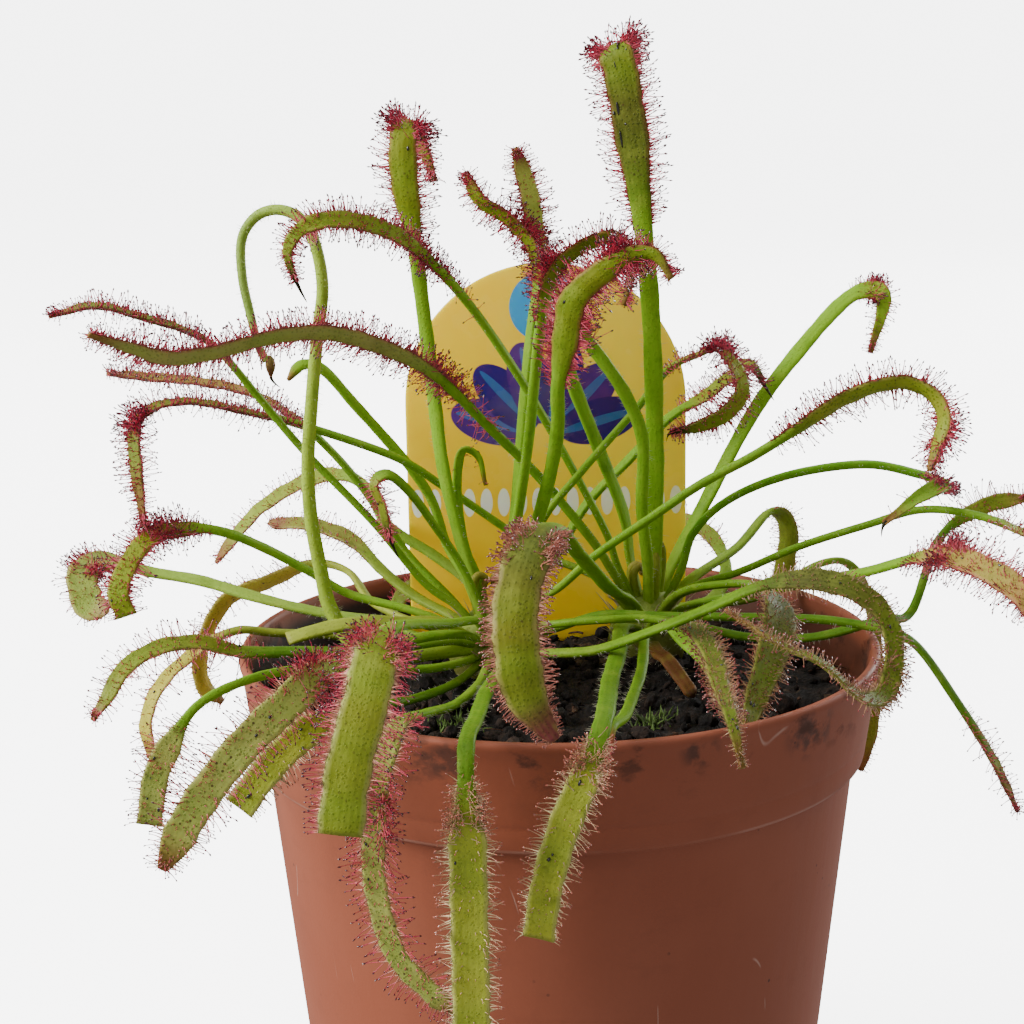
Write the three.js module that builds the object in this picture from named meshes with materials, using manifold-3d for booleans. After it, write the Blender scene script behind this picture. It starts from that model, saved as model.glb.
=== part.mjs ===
// A potted cape sundew: two plants with strap leaves and sticky tentacles in a round plastic
// pot, with a plant label behind them. Millimetres, +Z up, the origin at the centre of the
// pot's base, the front of the pot towards -Y.
import * as THREE from 'three';
import Module from 'manifold-3d';

// ---- driving dimensions ---------------------------------------------------------------------
const GAP = 0.3;
const POT = {
  height: 80, rimR: 45, collarH: 14.5, collarR: 43.1, bodyR: 41.7, lowZ: 20, lowR: 37.1, baseR: 35,
  ledge: 0.6, edge: 0.4, wall: 1.2, floor: 2, sides: 36, drains: 6, drainR: 2.4, drainRing: 24,
};
const SOIL = { top: 73, mound: 2, spread: 14, lump: 0.7, rings: 5, sides: 28 };
const SOIL_SLACK = 0.1;
const LABEL = {
  width: 42, thick: 0.8, x: -1, y: 22, shoulderZ: 110, topZ: 131, plateZ: 61, stakeZ: 46, stakeW: 14,
};
const CROWN = { r: 6, topZ: 84, rootZ: 54, rootR: 3, ballR: 13, ballZ: 77, sides: 12 };
const CROWN_AT = { a: [13.5, 10], b: [-9.5, 3] };
const BLADE_THICK = 0.8;
const PETIOLE_THICK = 1.1;
const GROW = { before: 0.03, after: 0.07 };
const STALK = { r: 1.2, taper: 0.55 };
const NEEDLE = { side: 4.4, face: 2.6, rootR: 0.36, perLeaf: 9 };
const CLEAR = { rim: 1.2, inside: 4, above: 1, wall: 1, soil: 1.5, label: 1.4, stalk: 1.4, leaf: 1 };
const SEED = 7;

// ---- leaves: crown, the route point where the blade starts, blade width, petiole width,
// ---- roll in degrees, the route of the midrib from the crown to the tip, and the share of the
// ---- route over which the tip narrows, 0 for a tip that has been cut off square -------------------
const leaf = (crown, startPoint, blade, petiole, roll, route, taper = 0.08) => ({
  crown, start: (startPoint + 1) / route.length, blade, petiole, roll, route, taper,
});
const LEAVES = {
  tall_right: leaf('a', 2.9, 4.6, 2.6, 0,
    [[14, 8, 89], [14, 4, 105], [13, -2, 126], [11, -6, 144], [9, -7, 157], [8, -6, 161], [9, -2, 161],
      [10, 0, 157]]),
  right_high: leaf('a', 4.4, 3.4, 2.3, 45,
    [[17, 14, 86], [22, 16, 95], [30, 19, 109], [38, 21, 119], [44, 22, 125], [48, 22, 126],
      [49, 21, 124], [47, 20, 117]], 0.3),
  right_arch: leaf('a', 5.6, 3.4, 1.7, 0,
    [[18, 9, 87], [20, 9, 93], [25, 8, 98], [33, 5, 102], [43, 2, 104], [50, 0, 103], [53, -3, 102],
      [49, -7, 101], [44, -9, 98]], 0.3),
  right_long: leaf('a', 5.4, 3.4, 1.6, 0,
    [[19, 10, 84], [27, 9, 87], [35, 7, 91], [44, 3, 95], [51, -1, 98], [58, -6, 98], [64, -11, 96],
      [70, -15, 93]]),
  right_near: leaf('a', 3.9, 3.6, 1.8, 30,
    [[18, 4, 83], [23, 1, 85], [32, -4, 88], [41, -12, 92], [47, -20, 96], [51, -26, 97], [56, -33, 95],
      [60, -38, 90]]),
  right_back: leaf('a', 2.1, 3.2, 2.2, -30,
    [[20, 15, 84], [28, 23, 87], [34, 30, 91], [37, 32, 88], [37, 34, 82], [36, 36, 75]]),
  rim_rise: leaf('a', 5.4, 2.4, 1.3, 30,
    [[19, 5, 80], [27, 2, 79], [36, -2, 80], [45, -4, 83], [50, 0, 83], [55, 6, 92], [62, 9, 96],
      [69, 10, 97]]),
  right_hang: leaf('a', 2.4, 5, 1.8, 0,
    [[17, 0, 86], [22, -6, 89], [27, -11, 90], [29, -16, 88], [27, -23, 84], [24, -30, 80],
      [22, -36, 77]], 0.35),
  left_arch_high: leaf('a', 4.7, 2.4, 1.4, -60,
    [[9, 8, 88], [7, 7, 94], [1, 5, 106], [-5, 3, 117], [-12, 0, 128], [-19, -4, 136], [-24, -7, 139],
      [-29, -9, 140], [-33, -10, 139], [-35, -10, 136], [-34, -10, 132]], 0.25),
  left_near: leaf('a', 3.9, 2.2, 1.4, 60,
    [[8, 6, 88], [5, 5, 93], [-2, 4, 102], [-9, 1, 110], [-17, -4, 119], [-25, -10, 124],
      [-31, -15, 126], [-37, -20, 126], [-43, -25, 125], [-48, -29, 125], [-52, -33, 127],
      [-56, -36, 129]], 0.2),
  left_square: leaf('a', 5.2, 2.6, 1.7, 0,
    [[6, 6, 87], [-2, 9, 90], [-8, 11, 94], [-16, 10, 100], [-23, 8, 105], [-36, 7, 110], [-43, 6, 112],
      [-50, 4, 114], [-55, 2, 114], [-58, 0, 112], [-58, -2, 107], [-57, -4, 98]]),
  centre_front: leaf('a', 3.4, 5.2, 2.6, -15,
    [[10, 1, 85], [7, -7, 89], [2, -22, 98], [-1, -38, 105], [-4, -50, 106], [-6, -56, 101],
      [-6, -59, 96], [-5, -60, 91], [-2, -60, 86]], 0.15),
  centre_back: leaf('a', 3.4, 3, 2.2, -45,
    [[11, 12, 88], [10, 12, 95], [6, 11, 106], [2, 11, 117], [0, 12, 127], [-2, 12, 134], [-3, 13, 141],
      [-5, 14, 148]]),
  centre_bright: leaf('a', 5.4, 2.4, 1.8, 60,
    [[13, 5, 89], [12, 2, 98], [12, 0, 108], [10, -1, 114], [7, -2, 119], [3, -2, 124], [0, -1, 126],
      [-3, 0, 126]], 0.25),
  front_right: leaf('a', 4.8, 3.8, 2.3, -15,
    [[9, -2, 82], [8, -12, 82], [6, -26, 82], [5, -39, 84], [4, -48, 84], [2, -53, 80], [-1, -54, 73],
      [-3, -54, 66], [-4, -53, 59]], 0),
  front_right_b: leaf('a', 4.4, 1.9, 1.5, -15,
    [[12, -3, 81], [11, -12, 79], [9, -24, 79], [7, -38, 81], [5, -45, 82], [4, -48, 79]]),
  soil_right: leaf('a', 1.8, 2.4, 1.8, 15,
    [[14, -4, 84], [17, -10, 82], [20, -15, 80], [22, -18, 77]]),
  rim_right: leaf('a', 3.8, 2.6, 2, -15,
    [[20, 14, 80], [31, 20, 80], [41, 24, 84], [46, 26, 83], [49, 26, 77], [50, 24, 68], [49, 21, 59],
      [47, 19, 52]]),
  back_right_wrap: leaf('a', 2.6, 3.2, 2, 15,
    [[18, 17, 79], [24, 22, 79], [27, 29, 82], [25, 36, 86], [19, 41, 88], [12, 44, 85]]),
  tall_left: leaf('b', 5.2, 3.8, 2.1, 60,
    [[-12, 4, 87], [-14, 5, 94], [-16, 5, 104], [-17, 5, 114], [-18, 4, 125], [-19, 2, 136],
      [-20, 0, 144], [-20, -1, 150], [-19, 1, 152], [-18, 3, 150], [-16, 4, 144]], 0.12),
  left_thin: leaf('b', 5.1, 2.8, 1.6, 0,
    [[-14, 2, 84], [-19, 2, 88], [-26, 2, 97], [-35, 2, 107], [-41, 1, 115], [-46, -1, 122],
      [-50, -3, 125], [-55, -5, 127], [-61, -7, 129], [-67, -9, 128]], 0.1),
  left_bow: leaf('b', 5.6, 3, 1.6, -30,
    [[-16, 5, 81], [-22, 6, 83], [-30, 7, 85], [-36, 6, 89], [-42, 4, 93], [-47, 1, 96], [-52, -1, 97],
      [-57, -4, 96], [-60, -9, 91], [-59, -10, 87]], 0),
  left_back_cup: leaf('b', 5.6, 4.8, 2.2, -30,
    [[-15, 8, 80], [-24, 10, 80], [-34, 11, 81], [-44, 13, 83], [-53, 16, 85], [-61, 18, 86],
      [-67, 17, 88], [-70, 14, 87], [-69, 12, 83], [-66, 11, 82]]),
  left_low: leaf('b', 3.8, 2.5, 1.8, -30,
    [[-15, -4, 81], [-22, -10, 82], [-29, -15, 83], [-36, -18, 84], [-42, -21, 85], [-47, -23, 87],
      [-52, -25, 87], [-56, -27, 85], [-58, -29, 82], [-60, -30, 79]], 0.15),
  left_hook_low: leaf('b', 5.6, 3.2, 1.2, -60,
    [[-15, -9, 79], [-20, -14, 80], [-28, -19, 82], [-35, -26, 84], [-41, -31, 84], [-46, -34, 82],
      [-49, -36, 78], [-51, -37, 74], [-52, -38, 68]], 0),
  left_broad: leaf('b', 2.6, 4.1, 1.6, -45,
    [[-13, -8, 83], [-19, -16, 85], [-25, -27, 86], [-30, -38, 87], [-34, -44, 85], [-39, -48, 81],
      [-44, -51, 75], [-48, -52, 68]]),
  left_small: leaf('b', 3.6, 3.8, 1.2, -60,
    [[-14, -10, 77], [-18, -19, 78], [-23, -29, 80], [-26, -36, 82], [-31, -40, 81], [-36, -42, 77],
      [-40, -43, 72]], 0),
  near_broad: leaf('b', 3.4, 5.2, 2.2, -15,
    [[-11, -5, 84], [-15, -16, 87], [-19, -30, 91], [-21, -42, 94], [-22, -52, 94], [-23, -57, 90],
      [-25, -60, 83], [-26, -62, 76]], 0),
  front_left: leaf('b', 2.8, 2.8, 1.3, -15,
    [[-11, -14, 78], [-14, -26, 79], [-17, -38, 82], [-20, -48, 84], [-22, -53, 80], [-23, -53, 72],
      [-23, -52, 65], [-21, -52, 57], [-17, -52, 52], [-14, -52, 49]]),
  front_centre: leaf('b', 3.8, 4.4, 2, 0,
    [[-8, -10, 79], [-10, -24, 80], [-11, -40, 82], [-12, -53, 83], [-12, -57, 76], [-12, -57, 67],
      [-12, -57, 58], [-12, -57, 50], [-12, -57, 43]], 0),
  centre_thin: leaf('b', 4.4, 2.6, 1.8, -15,
    [[-8, 0, 86], [-6, -4, 96], [-4, -7, 109], [-3, -8, 118], [-2, -8, 126], [-1, -8, 131],
      [1, -8, 134], [4, -8, 136], [7, -8, 137], [9, -8, 136], [10, -8, 133], [9, -8, 128]], 0.2),
  centre_thick: leaf('b', 4.3, 3.7, 1.9, -60,
    [[-6, -1, 87], [-3, -3, 97], [-1, -6, 105], [0, -9, 112], [0, -12, 118], [1, -15, 125],
      [2, -17, 130], [6, -20, 134], [9, -22, 136], [12, -23, 136], [14, -23, 133]], 0.4),
  centre_fork: leaf('b', 4.8, 2.6, 1.9, 0,
    [[-8, 6, 87], [-6, 6, 96], [-5, 6, 106], [-4, 6, 116], [-3, 7, 124], [-2, 8, 130], [-3, 9, 135],
      [-7, 10, 139], [-10, 10, 141], [-12, 10, 145]]),
  curl_right: leaf('b', 5.2, 2.6, 1.5, 0,
    [[-5, 1, 89], [-2, 1, 97], [3, 2, 103], [8, 5, 108], [12, 7, 112], [16, 7, 117], [20, 7, 119],
      [23, 6, 120], [25, 4, 118], [26, 2, 115], [24, 1, 112], [20, 1, 110], [16, 2, 109]], 0.15),
  curl_right_b: leaf('b', 4.6, 2.4, 1.6, 15,
    [[-4, 8, 84], [1, 14, 90], [5, 16, 96], [11, 17, 102], [17, 18, 108], [22, 18, 111], [26, 18, 114],
      [29, 18, 116], [31, 17, 113]], 0.15),
  right_spotted: leaf('b', 5.8, 2.8, 1.5, -45,
    [[-5, -2, 85], [0, -6, 89], [5, -8, 94], [12, -9, 99], [19, -10, 104], [26, -11, 108],
      [32, -12, 112], [38, -13, 116], [44, -14, 118], [48, -15, 117], [50, -16, 114], [49, -17, 110],
      [48, -18, 107]], 0.1),
  right_fold: leaf('b', 5.1, 3.6, 1.7, 45,
    [[-4, -10, 81], [0, -14, 82], [5, -16, 83], [12, -18, 86], [18, -20, 89], [26, -22, 93],
      [32, -23, 94], [37, -24, 93], [41, -25, 90], [42, -28, 86], [40, -33, 82], [36, -38, 83],
      [31, -40, 88], [26, -38, 90], [20, -33, 93]], 0.5),
  right_droop: leaf('b', 9.6, 2.4, 1.3, 15,
    [[-5, -4, 81], [0, -5, 83], [6, -6, 85], [13, -7, 85], [20, -8, 85], [29, -9, 85], [37, -11, 85],
      [44, -13, 84], [48, -14, 82], [53, -15, 75], [58, -16, 67], [62, -16, 59]]),
  centre_right_hang: leaf('b', 3.6, 3, 1.4, 15,
    [[-5, -6, 83], [0, -10, 85], [6, -12, 86], [12, -12, 86], [17, -16, 86], [19, -24, 85],
      [19, -36, 84], [19, -47, 84], [20, -51, 79]], 0.35),
  young_hook: leaf('b', 3.2, 1.4, 1.4, -15,
    [[-11, 6, 86], [-13, 7, 91], [-14, 7, 97], [-14, 7, 103], [-13, 7, 106], [-11, 7, 105],
      [-10, 6, 101]], 0.3),
  left_upper_bud: leaf('b', 9, 1.6, 1.6, -30,
    [[-13, 9, 86], [-16, 12, 91], [-18, 14, 97], [-21, 14, 102], [-25, 14, 107], [-29, 13, 112],
      [-33, 12, 117], [-36, 11, 118], [-38, 10, 116]]),
  left_withered: leaf('b', 4.6, 1.4, 2.2, -30,
    [[-12, 0, 87], [-14, -1, 92], [-17, -2, 97], [-20, -4, 102], [-23, -5, 105], [-25, -6, 104],
      [-24, -6, 101], [-23, -6, 96]]),
  left_back_red: leaf('b', 4.8, 2.6, 1.6, 0,
    [[-15, 9, 83], [-18, 10, 86], [-22, 12, 90], [-28, 14, 99], [-33, 15, 105], [-38, 14, 110],
      [-44, 12, 114], [-51, 10, 116], [-57, 8, 117], [-63, 6, 118]]),
  back_left_long: leaf('b', 4, 3.2, 1.8, -45,
    [[-12, 12, 84], [-18, 17, 88], [-25, 20, 92], [-28, 26, 96], [-32, 29, 98], [-38, 31, 97],
      [-45, 31, 93], [-49, 31, 89], [-53, 31, 84]]),
  back_left_brown: leaf('b', 2.6, 3, 1.8, -15,
    [[-15, 11, 80], [-21, 16, 82], [-26, 20, 85], [-31, 24, 89], [-37, 26, 91], [-41, 27, 91],
      [-44, 28, 91]]),
  back_left_hang: leaf('b', 4.2, 3, 1.8, 45,
    [[-15, 9, 78], [-22, 14, 79], [-28, 21, 80], [-32, 28, 83], [-38, 33, 83], [-45, 34, 80],
      [-52, 34, 77], [-56, 32, 70], [-56, 31, 64], [-53, 31, 61]]),
  left_low_back: leaf('b', 4.4, 2.8, 1.4, -15,
    [[-15, 3, 79], [-24, 2, 79], [-33, 0, 81], [-40, -2, 82], [-45, -4, 83], [-50, -6, 81],
      [-55, -9, 77], [-57, -11, 72], [-56, -12, 66]]),
  left_cut: leaf('b', 9, 2.4, 2.2, -30,
    [[-16, -2, 83], [-21, -5, 84], [-26, -8, 85], [-31, -10, 85], [-37, -12, 84]], 0),
  back_left_wrap: leaf('b', 2.6, 3, 1.6, 15,
    [[-15, 11, 77], [-21, 16, 76], [-25, 22, 77], [-23, 30, 79], [-16, 36, 81], [-9, 39, 79]]),
  dead_leaf: leaf('a', 9, 2, 2, 30,
    [[14, -2, 78], [15, -5, 78], [17, -9, 76], [18, -12, 75]]),
};
const SCAPE_ROUTE = [
  [-13, -1, 79], [-18, -3, 79], [-24, -5, 79], [-29, -4, 81], [-32, -3, 86], [-33, -3, 91],
  [-34, -4, 99], [-34, -5, 107], [-33, -6, 116], [-32, -6, 124], [-31, -6, 131], [-32, -5, 137],
  [-34, -4, 140], [-37, -3, 141], [-40, -2, 140], [-42, -2, 137], [-42, -3, 132], [-41, -4, 127],
  [-40, -5, 123], [-39, -5, 121],
];
const BUD = { r: 0.65, long: 2.4, out: 0.6 };

// ---- materials ------------------------------------------------------------------------------
const COLOURS = {
  pot: 0x9a5238, soil: 0x2a1f18, label: 0xe8b640, crown: 0x8f9a35, leaf: 0x8fa030, brown: 0x5a3420,
  scape: 0x9aa545,
};
const material = (key) => new THREE.MeshStandardMaterial({ color: COLOURS[key], roughness: 0.55 });

// ---- helpers --------------------------------------------------------------------------------
const wasm = await Module();
wasm.setup();

// A repeatable stream of numbers between 0 and 1.
function seeded(seed) {
  let state = seed * 2654435761 % 4294967296;
  return () => {
    state = (state * 1664525 + 1013904223) % 4294967296;
    return state / 4294967296;
  };
}

// A closed solid from rings of points; each end is closed by a fan onto its own mid point.
function loft(rings) {
  const points = [];
  const faces = [];
  const n = rings[0].length;
  rings.forEach((ring) => ring.forEach((p) => points.push(p.x, p.y, p.z)));
  for (let i = 0; i + 1 < rings.length; i += 1) {
    for (let j = 0; j < n; j += 1) {
      const a = i * n + j;
      const b = i * n + (j + 1) % n;
      faces.push(a, b, b + n, a, b + n, a + n);
    }
  }
  [[rings[0], 0, true], [rings.at(-1), (rings.length - 1) * n, false]].forEach(([ring, first, flip]) => {
    const mid = ring.reduce((sum, p) => sum.add(p), new THREE.Vector3()).divideScalar(n);
    const centre = points.length / 3;
    points.push(mid.x, mid.y, mid.z);
    for (let j = 0; j < n; j += 1) {
      const a = first + j;
      const b = first + (j + 1) % n;
      faces.push(...(flip ? [centre, b, a] : [centre, a, b]));
    }
  });
  return manifoldOf(points, faces);
}

function manifoldOf(points, faces) {
  const mesh = new wasm.Mesh({
    numProp: 3, vertProperties: new Float32Array(points), triVerts: new Uint32Array(faces),
  });
  return new wasm.Manifold(mesh);
}

// The solid of a three.js geometry, its doubled corners welded.
function solidOf(geometry) {
  const at = geometry.getAttribute('position');
  const index = geometry.getIndex();
  const seen = new Map();
  const points = [];
  const corner = (i) => {
    const key = [at.getX(i), at.getY(i), at.getZ(i)].map((v) => Math.round(v * 1e4)).join();
    if (!seen.has(key)) {
      seen.set(key, points.length / 3);
      points.push(at.getX(i), at.getY(i), at.getZ(i));
    }
    return seen.get(key);
  };
  const faces = [];
  const count = index ? index.count : at.count;
  for (let i = 0; i < count; i += 3) {
    const tri = [0, 1, 2].map((k) => corner(index ? index.getX(i + k) : i + k));
    if (new Set(tri).size === 3) {
      faces.push(...tri);
    }
  }
  return manifoldOf(points, faces);
}

function geometryOf(solid) {
  const { vertProperties, triVerts } = solid.getMesh();
  const geometry = new THREE.BufferGeometry();
  geometry.setAttribute('position', new THREE.BufferAttribute(new Float32Array(vertProperties), 3));
  geometry.setIndex(new THREE.BufferAttribute(new Uint32Array(triVerts), 1));
  geometry.computeVertexNormals();
  return geometry;
}

function node(name, solid, key) {
  const mesh = new THREE.Mesh(geometryOf(solid), material(key));
  mesh.name = name;
  return mesh;
}

function lathe(profile, sides) {
  const geometry = new THREE.LatheGeometry(profile.map(([r, z]) => new THREE.Vector2(r, z)), sides);
  geometry.rotateX(Math.PI / 2);
  return solidOf(geometry);
}

// ---- pot, soil and label --------------------------------------------------------------------
function potRadius(z) {
  const { height, rimR, collarH, collarR, bodyR, lowZ, lowR, baseR } = POT;
  const collarZ = height - collarH;
  if (z >= collarZ) {
    return collarR + (rimR - collarR) * (z - collarZ) / collarH;
  }
  if (z >= lowZ) {
    return lowR + (bodyR - lowR) * (z - lowZ) / (collarZ - lowZ);
  }
  return baseR + (lowR - baseR) * z / lowZ;
}

// The inner wall runs straight from the rim to the body, behind the collar.
function innerRadius(z) {
  const collarZ = POT.height - POT.collarH - POT.ledge;
  const rise = Math.max(0, z - collarZ) / (POT.height - collarZ);
  return (rise ? POT.bodyR + (POT.rimR - POT.bodyR) * rise : potRadius(z)) - POT.wall;
}

function pot() {
  const { height, rimR, bodyR, lowZ, ledge, edge, floor, sides, drains, drainR, drainRing } = POT;
  const collarZ = height - POT.collarH;
  const inner = (z) => [innerRadius(z), z];
  const body = lathe([
    [0, 0], [potRadius(0), 0], [potRadius(lowZ), lowZ], [bodyR, collarZ - ledge], [POT.collarR, collarZ],
    [rimR, height - edge], [rimR - edge, height], inner(height),
    inner(collarZ - ledge), inner(lowZ), inner(floor), [0, floor],
  ], sides);
  let holes = body;
  for (let i = 0; i < drains; i += 1) {
    const turn = 2 * Math.PI * (i + 0.5) / drains;
    const drill = new THREE.CylinderGeometry(drainR, drainR, 3 * floor, 8);
    drill.rotateX(Math.PI / 2);
    drill.translate(drainRing * Math.cos(turn), drainRing * Math.sin(turn), 0);
    holes = holes.subtract(solidOf(drill));
  }
  return holes;
}

// The soil's height at a place: a low mound round the crowns.
function soilHeight(x, y) {
  const near = Math.min(...Object.values(CROWN_AT).map(([cx, cy]) => Math.hypot(x - cx, y - cy)));
  return SOIL.top + SOIL.mound * Math.exp(-((near / SOIL.spread) ** 2));
}

// The soil's fill, with seeded lumps on its top.
function soilBlock() {
  const random = seeded(SEED);
  const { rings, sides, lump } = SOIL;
  const inset = GAP + SOIL_SLACK;
  const ring = (radius, z) => Array.from({ length: sides }, (_, i) => {
    const turn = 2 * Math.PI * i / sides;
    return new THREE.Vector3(radius * Math.cos(turn), radius * Math.sin(turn), z);
  });
  const floorZ = POT.floor + GAP;
  const collarZ = POT.height - POT.collarH;
  const levels = [floorZ, POT.lowZ, collarZ - POT.ledge];
  const stack = levels.map((z) => ring(innerRadius(z) - inset, z));
  for (let k = 0; k < rings; k += 1) {
    const radius = (innerRadius(SOIL.top - 1) - inset) * (1 - k / rings);
    const row = ring(radius, 0);
    row.forEach((p) => {
      p.z = soilHeight(p.x, p.y) + (k === 0 ? -1 : lump * (2 * random() - 1));
    });
    stack.push(row);
  }
  return loft(stack);
}

function soil() {
  const roots = Object.keys(CROWN_AT).map((key) => crownStem(key, GAP));
  const cut = roots.reduce((solid, root) => solid.subtract(root), soilBlock());
  return cut.subtract(labelPlate(GAP));
}

function labelPlate(grow) {
  const { width, thick, x, y, shoulderZ, topZ, stakeZ, stakeW } = LABEL;
  const half = width / 2 + grow;
  const outline = new THREE.Shape();
  outline.moveTo(-stakeW / 2 - grow, stakeZ - grow);
  outline.lineTo(stakeW / 2 + grow, stakeZ - grow);
  outline.lineTo(half, LABEL.plateZ);
  outline.lineTo(half, shoulderZ);
  const steps = 12;
  for (let i = 1; i < steps; i += 1) {
    const turn = Math.PI * i / steps;
    outline.lineTo(half * Math.cos(turn), shoulderZ + (topZ + grow - shoulderZ) * Math.sin(turn));
  }
  outline.lineTo(-half, shoulderZ);
  outline.lineTo(-half, LABEL.plateZ);
  outline.closePath();
  const plate = new THREE.ExtrudeGeometry(outline, { depth: thick + 2 * grow, bevelEnabled: false });
  plate.rotateX(Math.PI / 2);
  plate.translate(x, y + thick / 2 + grow, 0);
  return solidOf(plate);
}

// ---- leaves ---------------------------------------------------------------------------------
function curveOf(route) {
  return new THREE.CatmullRomCurve3(route.map((p) => new THREE.Vector3(...p)), false, 'catmullrom', 0.5);
}

// The whole route: it begins inside the crown, low for a leaf that leaves the crown low.
function fullRoute({ crown, route }) {
  const [cx, cy] = CROWN_AT[crown];
  const [x, y, z] = route[0];
  const base = [cx + 0.25 * (x - cx), cy + 0.25 * (y - cy), CROWN.ballZ + 0.3 * (z - CROWN.ballZ)];
  return [base, ...route];
}

// Stations along a route: place, direction, side and upper normal, carried without twisting.
function stations(route, outward, roll, steps) {
  const curve = curveOf(route);
  const up = new THREE.Vector3(0, 0, 1);
  const side = up.clone().cross(outward).normalize();
  return Array.from({ length: steps + 1 }, (_, i) => {
    const t = i / steps;
    const at = curve.getPoint(t);
    const along = curve.getTangent(t);
    side.addScaledVector(along, -side.dot(along)).normalize();
    const turned = side.clone().applyAxisAngle(along, THREE.MathUtils.degToRad(roll * Math.min(1, 2 * t)));
    return { t, at, along, side: turned, top: along.clone().cross(turned) };
  });
}

function leafStations(spec) {
  const route = fullRoute(spec);
  const [cx, cy] = CROWN_AT[spec.crown];
  const far = route.reduce((best, p) => (
    Math.hypot(p[0] - cx, p[1] - cy) > Math.hypot(best[0] - cx, best[1] - cy) ? p : best));
  const outward = new THREE.Vector3(far[0] - cx, far[1] - cy, 0).normalize();
  return stations(route, outward, spec.roll, Math.round(1.25 * (route.length - 1)) + 2);
}

function halfWidth(spec, t) {
  const grown = THREE.MathUtils.smoothstep(t, spec.start - GROW.before, spec.start + GROW.after);
  const width = spec.petiole + (spec.blade - spec.petiole) * grown;
  const tip = spec.taper ? Math.max(0.1, Math.min(1, (1.01 - t) / spec.taper)) ** 0.6 : 1;
  return 0.5 * width * tip;
}

// A strap with a flat four-sided section.
function ribbon(spec, line) {
  const rings = line.map(({ t, at, side, top }) => {
    const w = halfWidth(spec, t);
    const h = 0.5 * (t < spec.start ? PETIOLE_THICK : BLADE_THICK) * (t > 0.97 ? 0.7 : 1);
    return [[1, 1], [-1, 1], [-1, -1], [1, -1]].map(([u, v]) => (
      at.clone().addScaledVector(side, u * w).addScaledVector(top, v * h)));
  });
  return loft(rings);
}

// Every leaf's midrib as points, so that no tentacle is laid into a neighbour.
function midribs() {
  return Object.entries(LEAVES).flatMap(([name, spec]) => leafStations(spec).flatMap((here, i, line) => {
    const next = line[Math.min(i + 1, line.length - 1)];
    const reach = halfWidth(spec, here.t);
    return [0, 0.33, 0.67].map((f) => ({ name, at: here.at.clone().lerp(next.at, f), reach }));
  }));
}

function isClear(name, p, taken, scape) {
  const fromAxis = Math.hypot(p.x, p.y);
  const byRim = fromAxis < POT.rimR + CLEAR.rim && fromAxis > POT.rimR - CLEAR.inside;
  const nearRim = byRim && p.z < POT.height + CLEAR.above;
  const inWall = fromAxis < potRadius(Math.min(p.z, POT.height)) + CLEAR.wall;
  const nearWall = inWall && p.z < SOIL.top + SOIL.mound + CLEAR.soil;
  const byLabel = Math.abs(p.y - LABEL.y) < CLEAR.label && p.z < LABEL.topZ;
  const nearLabel = byLabel && Math.abs(p.x - LABEL.x) < LABEL.width / 2 + CLEAR.wall;
  const nearScape = scape.some((q) => q.distanceTo(p) < STALK.r + CLEAR.stalk);
  return !nearRim && !nearWall && !nearLabel && !nearScape
    && !taken.some((q) => q.name !== name && q.at.distanceTo(p) < q.reach + CLEAR.leaf);
}

// A three-sided tentacle from just under the skin out to its tip.
function needle(root, tip) {
  const axis = tip.clone().sub(root).normalize();
  const across = new THREE.Vector3(0, 0, 1).cross(axis);
  if (across.length() < 0.2) {
    across.set(1, 0, 0);
  }
  across.normalize();
  const lift = axis.clone().cross(across);
  const corners = [0, 1, 2].map((k) => {
    const turn = 2 * Math.PI * k / 3;
    return root.clone().addScaledVector(across, NEEDLE.rootR * Math.cos(turn))
      .addScaledVector(lift, NEEDLE.rootR * Math.sin(turn));
  });
  const points = [...corners, tip].flatMap((p) => [p.x, p.y, p.z]);
  return manifoldOf(points, [0, 2, 1, 0, 1, 3, 1, 2, 3, 2, 0, 3]);
}

// Tentacles along the blade: long ones on both margins and past the tip, short ones on its face.
function needles(name, spec, line, taken, scape, random) {
  const out = [];
  const curve = (t) => {
    const at = t * (line.length - 1);
    const i = Math.min(Math.floor(at), line.length - 2);
    const mix = (key) => line[i][key].clone().lerp(line[i + 1][key], at - i);
    const [along, side, top] = ['along', 'side', 'top'].map((key) => mix(key).normalize());
    return { at: mix('at'), along, side, top };
  };
  for (let i = 0; i < NEEDLE.perLeaf; i += 1) {
    const last = i === NEEDLE.perLeaf - 1;
    const row = last ? 0 : [1, -1, 0][i % 3];
    const t = last ? 0.985 : spec.start + 0.03 + (0.94 - spec.start) * (i + 0.4 * random()) / NEEDLE.perLeaf;
    const { at, along, side, top } = curve(t);
    for (let attempt = 0; attempt < 6; attempt += 1) {
      const long = (row || last ? NEEDLE.side : NEEDLE.face) * (0.8 + 0.35 * random()) * (1 - 0.1 * attempt);
      const rise = row ? 0.3 + 0.5 * random() : 1;
      const way = side.clone().multiplyScalar(row).addScaledVector(top, last ? 0.2 : rise)
        .addScaledVector(along, last ? 1 : 0.5 * (random() - 0.3)).normalize();
      const root = at.clone().addScaledVector(side, row * (halfWidth(spec, t) - 0.6));
      const tip = root.clone().addScaledVector(way, long + 0.4);
      const mid = root.clone().lerp(tip, 0.6);
      if (isClear(name, tip, taken, scape) && isClear(name, mid, taken, scape)) {
        out.push(needle(root, tip));
        taken.push({ name, at: tip, reach: 0 }, { name, at: mid, reach: 0 });
        break;
      }
    }
  }
  return out;
}

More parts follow.
